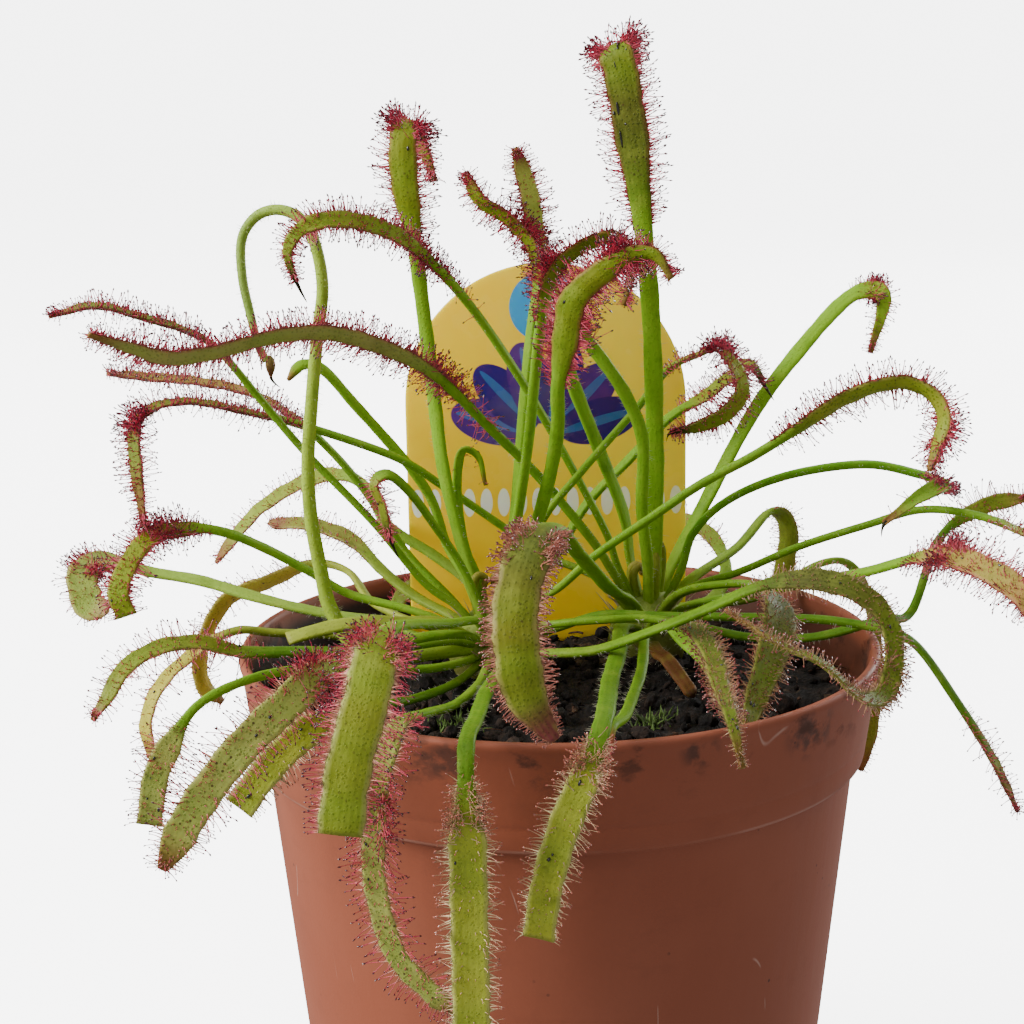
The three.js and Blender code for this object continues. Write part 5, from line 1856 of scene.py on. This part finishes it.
LEAVES: tuple[LeafPlan, ...] = (
    LeafPlan("tall_right", Rosette.A, 2.9, 4.6, 2.6, 0, Kind.STREAKED, (
        (14, 8, 89), (14, 4, 105), (13, -2, 126), (11, -6, 144), (9, -7, 157), (8, -6, 161),
        (9, -2, 161), (10, 0, 157)), tuft=5.4),
    LeafPlan("right_high", Rosette.A, 4.4, 3.4, 2.3, 45, Kind.BEAKED, (
        (17, 14, 86), (22, 16, 95), (30, 19, 109), (38, 21, 119), (44, 22, 125), (48, 22, 126),
        (49, 21, 124), (47, 20, 117)), taper=0.3, tuft=4.9),
    LeafPlan("right_arch", Rosette.A, 5.6, 3.4, 1.7, 0, Kind.ROLLED, (
        (18, 9, 87), (20, 9, 93), (25, 8, 98), (33, 5, 102), (43, 2, 104), (50, 0, 103),
        (53, -3, 102), (49, -7, 101), (44, -9, 98)), taper=0.3, tuft=6.0),
    LeafPlan("right_long", Rosette.A, 5.4, 3.4, 1.6, 0, Kind.FRESH, (
        (19, 10, 84), (27, 9, 87), (35, 7, 91), (44, 3, 95), (51, -1, 98), (58, -6, 98),
        (64, -11, 96), (70, -15, 93))),
    LeafPlan("right_near", Rosette.A, 3.9, 3.6, 1.8, 30, Kind.FEATHERY, (
        (18, 4, 83), (23, 1, 85), (32, -4, 88), (41, -12, 92), (47, -20, 96), (51, -26, 97),
        (56, -33, 95), (60, -38, 90)), tuft=4.6),
    LeafPlan("right_back", Rosette.A, 2.1, 3.2, 2.2, -30, Kind.PALE, (
        (20, 15, 84), (28, 23, 87), (34, 30, 91), (37, 32, 88), (37, 34, 82), (36, 36, 75))),
    LeafPlan("rim_rise", Rosette.A, 5.4, 2.4, 1.3, 30, Kind.DARK, (
        (19, 5, 80), (27, 2, 79), (36, -2, 80), (45, -4, 83), (50, 0, 83), (55, 6, 92), (62, 9, 96),
        (69, 10, 97))),
    LeafPlan("right_hang", Rosette.A, 2.4, 5, 1.8, 0, Kind.DOTTED, (
        (17, 0, 86), (22, -6, 89), (27, -11, 90), (29, -16, 88), (27, -23, 84), (24, -30, 80),
        (22, -36, 77)), taper=0.35),
    LeafPlan("left_arch_high", Rosette.A, 4.7, 2.4, 1.4, -60, Kind.HOOKED, (
        (9, 8, 88), (7, 7, 94), (1, 5, 106), (-5, 3, 117), (-12, 0, 128), (-19, -4, 136),
        (-24, -7, 139), (-29, -9, 140), (-33, -10, 139), (-35, -10, 136), (-34, -10, 132)),
        taper=0.25, tuft=4.5),
    LeafPlan("left_near", Rosette.A, 3.9, 2.2, 1.4, 60, Kind.BLUSHED, (
        (8, 6, 88), (5, 5, 93), (-2, 4, 102), (-9, 1, 110), (-17, -4, 119), (-25, -10, 124),
        (-31, -15, 126), (-37, -20, 126), (-43, -25, 125), (-48, -29, 125), (-52, -33, 127),
        (-56, -36, 129)), taper=0.2, tuft=3.6),
    LeafPlan("left_square", Rosette.A, 5.2, 2.6, 1.7, 0, Kind.OLIVE, (
        (6, 6, 87), (-2, 9, 90), (-8, 11, 94), (-16, 10, 100), (-23, 8, 105), (-36, 7, 110),
        (-43, 6, 112), (-50, 4, 114), (-55, 2, 114), (-58, 0, 112), (-58, -2, 107), (-57, -4, 98)),
        tuft=9.0),
    LeafPlan("centre_front", Rosette.A, 3.4, 5.2, 2.6, -15, Kind.DRIED_TIP, (
        (10, 1, 85), (7, -7, 89), (2, -22, 98), (-1, -38, 105), (-4, -50, 106), (-6, -56, 101),
        (-6, -59, 96), (-5, -60, 91), (-2, -60, 86)), taper=0.15, face=-1, tuft=3.9),
    LeafPlan("centre_back", Rosette.A, 3.4, 3, 2.2, -45, Kind.SLENDER, (
        (11, 12, 88), (10, 12, 95), (6, 11, 106), (2, 11, 117), (0, 12, 127), (-2, 12, 134),
        (-3, 13, 141), (-5, 14, 148)), tuft=3.4),
    LeafPlan("centre_bright", Rosette.A, 5.4, 2.4, 1.8, 60, Kind.SLENDER, (
        (13, 5, 89), (12, 2, 98), (12, 0, 108), (10, -1, 114), (7, -2, 119), (3, -2, 124),
        (0, -1, 126), (-3, 0, 126)), taper=0.25, tuft=5.0),
    LeafPlan("front_right", Rosette.A, 4.8, 3.8, 2.3, -15, Kind.CREAM, (
        (9, -2, 82), (8, -12, 82), (6, -26, 82), (5, -39, 84), (4, -48, 84), (2, -53, 80),
        (-1, -54, 73), (-3, -54, 66), (-4, -53, 59)), taper=0, tuft=4.9),
    LeafPlan("front_right_b", Rosette.A, 4.4, 1.9, 1.5, -15, Kind.RUDDY, (
        (12, -3, 81), (11, -12, 79), (9, -24, 79), (7, -38, 81), (5, -45, 82), (4, -48, 79))),
    LeafPlan("soil_right", Rosette.A, 1.8, 2.4, 1.8, 15, Kind.BARE, (
        (14, -4, 84), (17, -10, 82), (20, -15, 80), (22, -18, 77))),
    LeafPlan("rim_right", Rosette.A, 3.8, 2.6, 2, -15, Kind.PALE, (
        (20, 14, 80), (31, 20, 80), (41, 24, 84), (46, 26, 83), (49, 26, 77), (50, 24, 68),
        (49, 21, 59), (47, 19, 52))),
    LeafPlan("back_right_wrap", Rosette.A, 2.6, 3.2, 2, 15, Kind.PALE, (
        (18, 17, 79), (24, 22, 79), (27, 29, 82), (25, 36, 86), (19, 41, 88), (12, 44, 85))),
    LeafPlan("tall_left", Rosette.B, 5.2, 3.8, 2.1, 60, Kind.TUFTED, (
        (-12, 4, 87), (-14, 5, 94), (-16, 5, 104), (-17, 5, 114), (-18, 4, 125), (-19, 2, 136),
        (-20, 0, 144), (-20, -1, 150), (-19, 1, 152), (-18, 3, 150), (-16, 4, 144)),
        taper=0.12, tuft=7.6),
    LeafPlan("left_thin", Rosette.B, 5.1, 2.8, 1.6, 0, Kind.OLIVE, (
        (-14, 2, 84), (-19, 2, 88), (-26, 2, 97), (-35, 2, 107), (-41, 1, 115), (-46, -1, 122),
        (-50, -3, 125), (-55, -5, 127), (-61, -7, 129), (-67, -9, 128)), taper=0.1),
    LeafPlan("left_bow", Rosette.B, 5.6, 3, 1.6, -30, Kind.TUFTED, (
        (-16, 5, 81), (-22, 6, 83), (-30, 7, 85), (-36, 6, 89), (-42, 4, 93), (-47, 1, 96),
        (-52, -1, 97), (-57, -4, 96), (-60, -9, 91), (-59, -10, 87)), taper=0, tuft=6.6),
    LeafPlan("left_back_cup", Rosette.B, 5.6, 4.8, 2.2, -30, Kind.CUPPED, (
        (-15, 8, 80), (-24, 10, 80), (-34, 11, 81), (-44, 13, 83), (-53, 16, 85), (-61, 18, 86),
        (-67, 17, 88), (-70, 14, 87), (-69, 12, 83), (-66, 11, 82)), tuft=6.6),
    LeafPlan("left_low", Rosette.B, 3.8, 2.5, 1.8, -30, Kind.DARK, (
        (-15, -4, 81), (-22, -10, 82), (-29, -15, 83), (-36, -18, 84), (-42, -21, 85),
        (-47, -23, 87), (-52, -25, 87), (-56, -27, 85), (-58, -29, 82), (-60, -30, 79)),
        taper=0.15),
    LeafPlan("left_hook_low", Rosette.B, 5.6, 3.2, 1.2, -60, Kind.SPOTTED, (
        (-15, -9, 79), (-20, -14, 80), (-28, -19, 82), (-35, -26, 84), (-41, -31, 84),
        (-46, -34, 82), (-49, -36, 78), (-51, -37, 74), (-52, -38, 68)), taper=0),
    LeafPlan("left_broad", Rosette.B, 2.6, 4.1, 1.6, -45, Kind.SPOTTED, (
        (-13, -8, 83), (-19, -16, 85), (-25, -27, 86), (-30, -38, 87), (-34, -44, 85),
        (-39, -48, 81), (-44, -51, 75), (-48, -52, 68)), tuft=3.0),
    LeafPlan("left_small", Rosette.B, 3.6, 3.8, 1.2, -60, Kind.CREAM, (
        (-14, -10, 77), (-18, -19, 78), (-23, -29, 80), (-26, -36, 82), (-31, -40, 81),
        (-36, -42, 77), (-40, -43, 72)), taper=0),
    LeafPlan("near_broad", Rosette.B, 3.4, 5.2, 2.2, -15, Kind.FRINGED, (
        (-11, -5, 84), (-15, -16, 87), (-19, -30, 91), (-21, -42, 94), (-22, -52, 94),
        (-23, -57, 90), (-25, -60, 83), (-26, -62, 76)), taper=0, face=-1, tuft=3.7),
    LeafPlan("front_left", Rosette.B, 2.8, 2.8, 1.3, -15, Kind.SPOTTED, (
        (-11, -14, 78), (-14, -26, 79), (-17, -38, 82), (-20, -48, 84), (-22, -53, 80),
        (-23, -53, 72), (-23, -52, 65), (-21, -52, 57), (-17, -52, 52), (-14, -52, 49)), tuft=4.6),
    LeafPlan("front_centre", Rosette.B, 3.8, 4.4, 2, 0, Kind.CREAM, (
        (-8, -10, 79), (-10, -24, 80), (-11, -40, 82), (-12, -53, 83), (-12, -57, 76),
        (-12, -57, 67), (-12, -57, 58), (-12, -57, 50), (-12, -57, 43)), taper=0, tuft=3.9),
    LeafPlan("centre_thin", Rosette.B, 4.4, 2.6, 1.8, -15, Kind.CROWDED, (
        (-8, 0, 86), (-6, -4, 96), (-4, -7, 109), (-3, -8, 118), (-2, -8, 126), (-1, -8, 131),
        (1, -8, 134), (4, -8, 136), (7, -8, 137), (9, -8, 136), (10, -8, 133), (9, -8, 128)),
        taper=0.2, tuft=5.6),
    LeafPlan("centre_thick", Rosette.B, 4.3, 3.7, 1.9, -60, Kind.CROWDED, (
        (-6, -1, 87), (-3, -3, 97), (-1, -6, 105), (0, -9, 112), (0, -12, 118), (1, -15, 125),
        (2, -17, 130), (6, -20, 134), (9, -22, 136), (12, -23, 136), (14, -23, 133)),
        taper=0.4, tuft=7.6),
    LeafPlan("centre_fork", Rosette.B, 4.8, 2.6, 1.9, 0, Kind.CROWDED, (
        (-8, 6, 87), (-6, 6, 96), (-5, 6, 106), (-4, 6, 116), (-3, 7, 124), (-2, 8, 130),
        (-3, 9, 135), (-7, 10, 139), (-10, 10, 141), (-12, 10, 145)), tuft=6.2),
    LeafPlan("curl_right", Rosette.B, 5.2, 2.6, 1.5, 0, Kind.BLACK_TIP, (
        (-5, 1, 89), (-2, 1, 97), (3, 2, 103), (8, 5, 108), (12, 7, 112), (16, 7, 117),
        (20, 7, 119), (23, 6, 120), (25, 4, 118), (26, 2, 115), (24, 1, 112), (20, 1, 110),
        (16, 2, 109)), taper=0.15, tuft=7.0),
    LeafPlan("curl_right_b", Rosette.B, 4.6, 2.4, 1.6, 15, Kind.BLACK_TIP, (
        (-4, 8, 84), (1, 14, 90), (5, 16, 96), (11, 17, 102), (17, 18, 108), (22, 18, 111),
        (26, 18, 114), (29, 18, 116), (31, 17, 113)), taper=0.15),
    LeafPlan("right_spotted", Rosette.B, 5.8, 2.8, 1.5, -45, Kind.STUDDED, (
        (-5, -2, 85), (0, -6, 89), (5, -8, 94), (12, -9, 99), (19, -10, 104), (26, -11, 108),
        (32, -12, 112), (38, -13, 116), (44, -14, 118), (48, -15, 117), (50, -16, 114),
        (49, -17, 110), (48, -18, 107)), taper=0.1, tuft=10.6),
    LeafPlan("right_fold", Rosette.B, 5.1, 3.6, 1.7, 45, Kind.DOTTED, (
        (-4, -10, 81), (0, -14, 82), (5, -16, 83), (12, -18, 86), (18, -20, 89), (26, -22, 93),
        (32, -23, 94), (37, -24, 93), (41, -25, 90), (42, -28, 86), (40, -33, 82), (36, -38, 83),
        (31, -40, 88), (26, -38, 90), (20, -33, 93)), taper=0.5, tuft=9.6),
    LeafPlan("right_droop", Rosette.B, 9.6, 2.4, 1.3, 15, Kind.DARK, (
        (-5, -4, 81), (0, -5, 83), (6, -6, 85), (13, -7, 85), (20, -8, 85), (29, -9, 85),
        (37, -11, 85), (44, -13, 84), (48, -14, 82), (53, -15, 75), (58, -16, 67), (62, -16, 59))),
    LeafPlan("centre_right_hang", Rosette.B, 3.6, 3, 1.4, 15, Kind.DOTTED, (
        (-5, -6, 83), (0, -10, 85), (6, -12, 86), (12, -12, 86), (17, -16, 86), (19, -24, 85),
        (19, -36, 84), (19, -47, 84), (20, -51, 79)), taper=0.35),
    LeafPlan("young_hook", Rosette.B, 3.2, 1.4, 1.4, -15, Kind.BARE, (
        (-11, 6, 86), (-13, 7, 91), (-14, 7, 97), (-14, 7, 103), (-13, 7, 106), (-11, 7, 105),
        (-10, 6, 101)), taper=0.3),
    LeafPlan("left_upper_bud", Rosette.B, 9, 1.6, 1.6, -30, Kind.BARE, (
        (-13, 9, 86), (-16, 12, 91), (-18, 14, 97), (-21, 14, 102), (-25, 14, 107), (-29, 13, 112),
        (-33, 12, 117), (-36, 11, 118), (-38, 10, 116))),
    LeafPlan("left_withered", Rosette.B, 4.6, 1.4, 2.2, -30, Kind.BLACK_TIP, (
        (-12, 0, 87), (-14, -1, 92), (-17, -2, 97), (-20, -4, 102), (-23, -5, 105), (-25, -6, 104),
        (-24, -6, 101), (-23, -6, 96))),
    LeafPlan("left_back_red", Rosette.B, 4.8, 2.6, 1.6, 0, Kind.FEATHERY, (
        (-15, 9, 83), (-18, 10, 86), (-22, 12, 90), (-28, 14, 99), (-33, 15, 105), (-38, 14, 110),
        (-44, 12, 114), (-51, 10, 116), (-57, 8, 117), (-63, 6, 118))),
    LeafPlan("back_left_long", Rosette.B, 4, 3.2, 1.8, -45, Kind.PALE, (
        (-12, 12, 84), (-18, 17, 88), (-25, 20, 92), (-28, 26, 96), (-32, 29, 98), (-38, 31, 97),
        (-45, 31, 93), (-49, 31, 89), (-53, 31, 84))),
    LeafPlan("back_left_brown", Rosette.B, 2.6, 3, 1.8, -15, Kind.BROWN, (
        (-15, 11, 80), (-21, 16, 82), (-26, 20, 85), (-31, 24, 89), (-37, 26, 91), (-41, 27, 91),
        (-44, 28, 91))),
    LeafPlan("back_left_hang", Rosette.B, 4.2, 3, 1.8, 45, Kind.YELLOWED, (
        (-15, 9, 78), (-22, 14, 79), (-28, 21, 80), (-32, 28, 83), (-38, 33, 83), (-45, 34, 80),
        (-52, 34, 77), (-56, 32, 70), (-56, 31, 64), (-53, 31, 61))),
    LeafPlan("left_low_back", Rosette.B, 4.4, 2.8, 1.4, -15, Kind.YELLOWED, (
        (-15, 3, 79), (-24, 2, 79), (-33, 0, 81), (-40, -2, 82), (-45, -4, 83), (-50, -6, 81),
        (-55, -9, 77), (-57, -11, 72), (-56, -12, 66))),
    LeafPlan("left_cut", Rosette.B, 9, 2.4, 2.2, -30, Kind.YELLOWED, (
        (-16, -2, 83), (-21, -5, 84), (-26, -8, 85), (-31, -10, 85), (-37, -12, 84)), taper=0),
    LeafPlan("back_left_wrap", Rosette.B, 2.6, 3, 1.6, 15, Kind.PALE, (
        (-15, 11, 77), (-21, 16, 76), (-25, 22, 77), (-23, 30, 79), (-16, 36, 81), (-9, 39, 79))),
    LeafPlan("dead_leaf", Rosette.A, 9, 2, 2, 30, Kind.DRY, (
        (14, -2, 78), (15, -5, 78), (17, -9, 76), (18, -12, 75))),
)
SCAPE_ROUTE: tuple[Triple, ...] = (
    (-13, -1, 79), (-18, -3, 79), (-24, -5, 79), (-29, -4, 81), (-32, -3, 86), (-33, -3, 91),
    (-34, -4, 99), (-34, -5, 107), (-33, -6, 116), (-32, -6, 124), (-31, -6, 131), (-32, -5, 137),
    (-34, -4, 140), (-37, -3, 141), (-40, -2, 140), (-42, -2, 137), (-42, -3, 132), (-41, -4, 127),
    (-40, -5, 123), (-39, -5, 121),
)


# ---- studio ----


@dataclass(frozen=True)
class Lamp:
    """One soft square light: its place and side in metres, its power in watts."""

    name: str
    place: Triple
    size: float
    watts: float
    colour: Colour = WHITE


@dataclass
class Studio:
    """Pale floor, soft lights and the camera."""

    eye: Triple = (-6.3, -263.3, 158.4)
    target: Triple = (-6.3, 0.0, 98.4)
    lean: float = -0.98
    focal_pixels: float = 1931.0
    frame_pixels: float = 1024.0
    sensor: float = 36.0
    floor_size: float = 9.0
    dome_r: float = 4.4
    haze: float = 5.7
    air: float = 0.46
    aim: Triple = (0.0, 0.0, 0.09)
    lamps: tuple[Lamp, ...] = (
        Lamp("key", (-1.25, -0.25, 0.75), 0.8, 40.0, (1.0, 0.98, 0.96)),
        Lamp("top", (-0.10, 0.10, 1.30), 0.8, 5.0),
        Lamp("edge", (0.95, 0.95, 0.45), 0.6, 13.0),
    )

    def floor(self) -> None:
        """Lay the floor."""
        bpy.ops.mesh.primitive_grid_add(
            x_subdivisions=4, y_subdivisions=4, size=self.floor_size, location=(0, 0, 0)
        )
        paper = bpy.context.active_object
        paper.name = "studio_paper"
        paper.data.materials.append(FloorFinish().material())
        paper.visible_diffuse = False
        paper.visible_glossy = False

    def dome(self) -> None:
        """Put up a pale surround that is seen but gives no light."""
        bpy.ops.mesh.primitive_uv_sphere_add(
            segments=48, ring_count=24, radius=self.dome_r, location=(0, 0, 0)
        )
        dome = bpy.context.active_object
        dome.name = "studio_surround"
        constants = {
            "Base Color": (0.0, 0.0, 0.0), "Roughness": 1.0, "Specular IOR Level": 0.0,
            "Emission Strength": self.haze,
        }
        g = Graph("studio_haze", constants)
        dome.data.materials.append(g.finish(Emission_Color=WHITE))
        dome.visible_diffuse = False
        dome.visible_glossy = False
        dome.visible_transmission = False
        dome.visible_shadow = False

    def light(self, lamp: Lamp) -> None:
        """Hang one soft square light.

        Args:
            lamp: the light.
        """
        data = bpy.data.lights.new(lamp.name, "AREA")
        data.size = lamp.size
        data.energy = lamp.watts
        data.color = lamp.colour
        hung = bpy.data.objects.new(lamp.name, data)
        bpy.context.scene.collection.objects.link(hung)
        hung.location = lamp.place
        way = Vector(self.aim) - Vector(lamp.place)
        hung.rotation_euler = way.to_track_quat("-Z", "Y").to_euler()

    def camera(self) -> None:
        """Set up the camera, leaning slightly about its view."""
        lens = bpy.data.cameras.new("view")
        lens.sensor_width = self.sensor
        lens.lens = self.focal_pixels / self.frame_pixels * self.sensor
        lens.clip_start = 0.01
        lens.clip_end = 50.0
        eye = bpy.data.objects.new("view", lens)
        bpy.context.scene.collection.objects.link(eye)
        away = (Vector(self.eye) - Vector(self.target)).normalized()
        right = Vector((0, 0, 1)).cross(away).normalized()
        up = away.cross(right)
        lean = math.radians(self.lean)
        turned = right * math.cos(lean) + up * math.sin(lean)
        over = away.cross(turned)
        turn = Matrix((turned, over, away)).transposed().to_4x4()
        eye.matrix_world = Matrix.Translation(Vector(self.eye) * MM) @ turn
        bpy.context.scene.camera = eye

    def world(self) -> None:
        """Fill the surroundings with even pale light."""
        world = bpy.data.worlds.new("studio_air")
        world.use_nodes = True
        air = world.node_tree.nodes["Background"]
        air.inputs["Color"].default_value = (*WHITE, 1.0)
        air.inputs["Strength"].default_value = self.air
        bpy.context.scene.world = world

    def build(self) -> None:
        """Build the studio."""
        self.floor()
        self.dome()
        self.world()
        for lamp in self.lamps:
            self.light(lamp)
        self.camera()


def plain(box: Any) -> list[list[float]]:
    """A box as plain lists."""
    return [[float(v) for v in corner] for corner in box]


def main() -> None:
    """Build the potted sundew and its studio."""
    logging.basicConfig(level=logging.INFO, format="%(message)s")
    Studio().build()
    pot = Pot()
    pot.build()
    soil = Soil(pot, [rosette.value for rosette in Rosette])
    soil.build()
    label = PlantLabel()
    label.build()
    around = Surroundings(pot, soil, label)
    finishes = [
        LeafSkin().material(),
        TintedFinish("tentacle_stalk", 0.42).material(),
        TintedFinish("tentacle_bead", 0.16, coat=0.6).material(),
        TintedFinish("fine_hair", 0.55).material(),
    ]
    for rosette, node in zip(Rosette, ("crown_a", "crown_b")):
        Crown(rosette, node).build(finishes)
    FlowerScape(SCAPE_ROUTE).build(finishes)
    for plan in LEAVES:
        Leaf(plan, around).build(finishes)


if __name__ == "__main__":
    main()
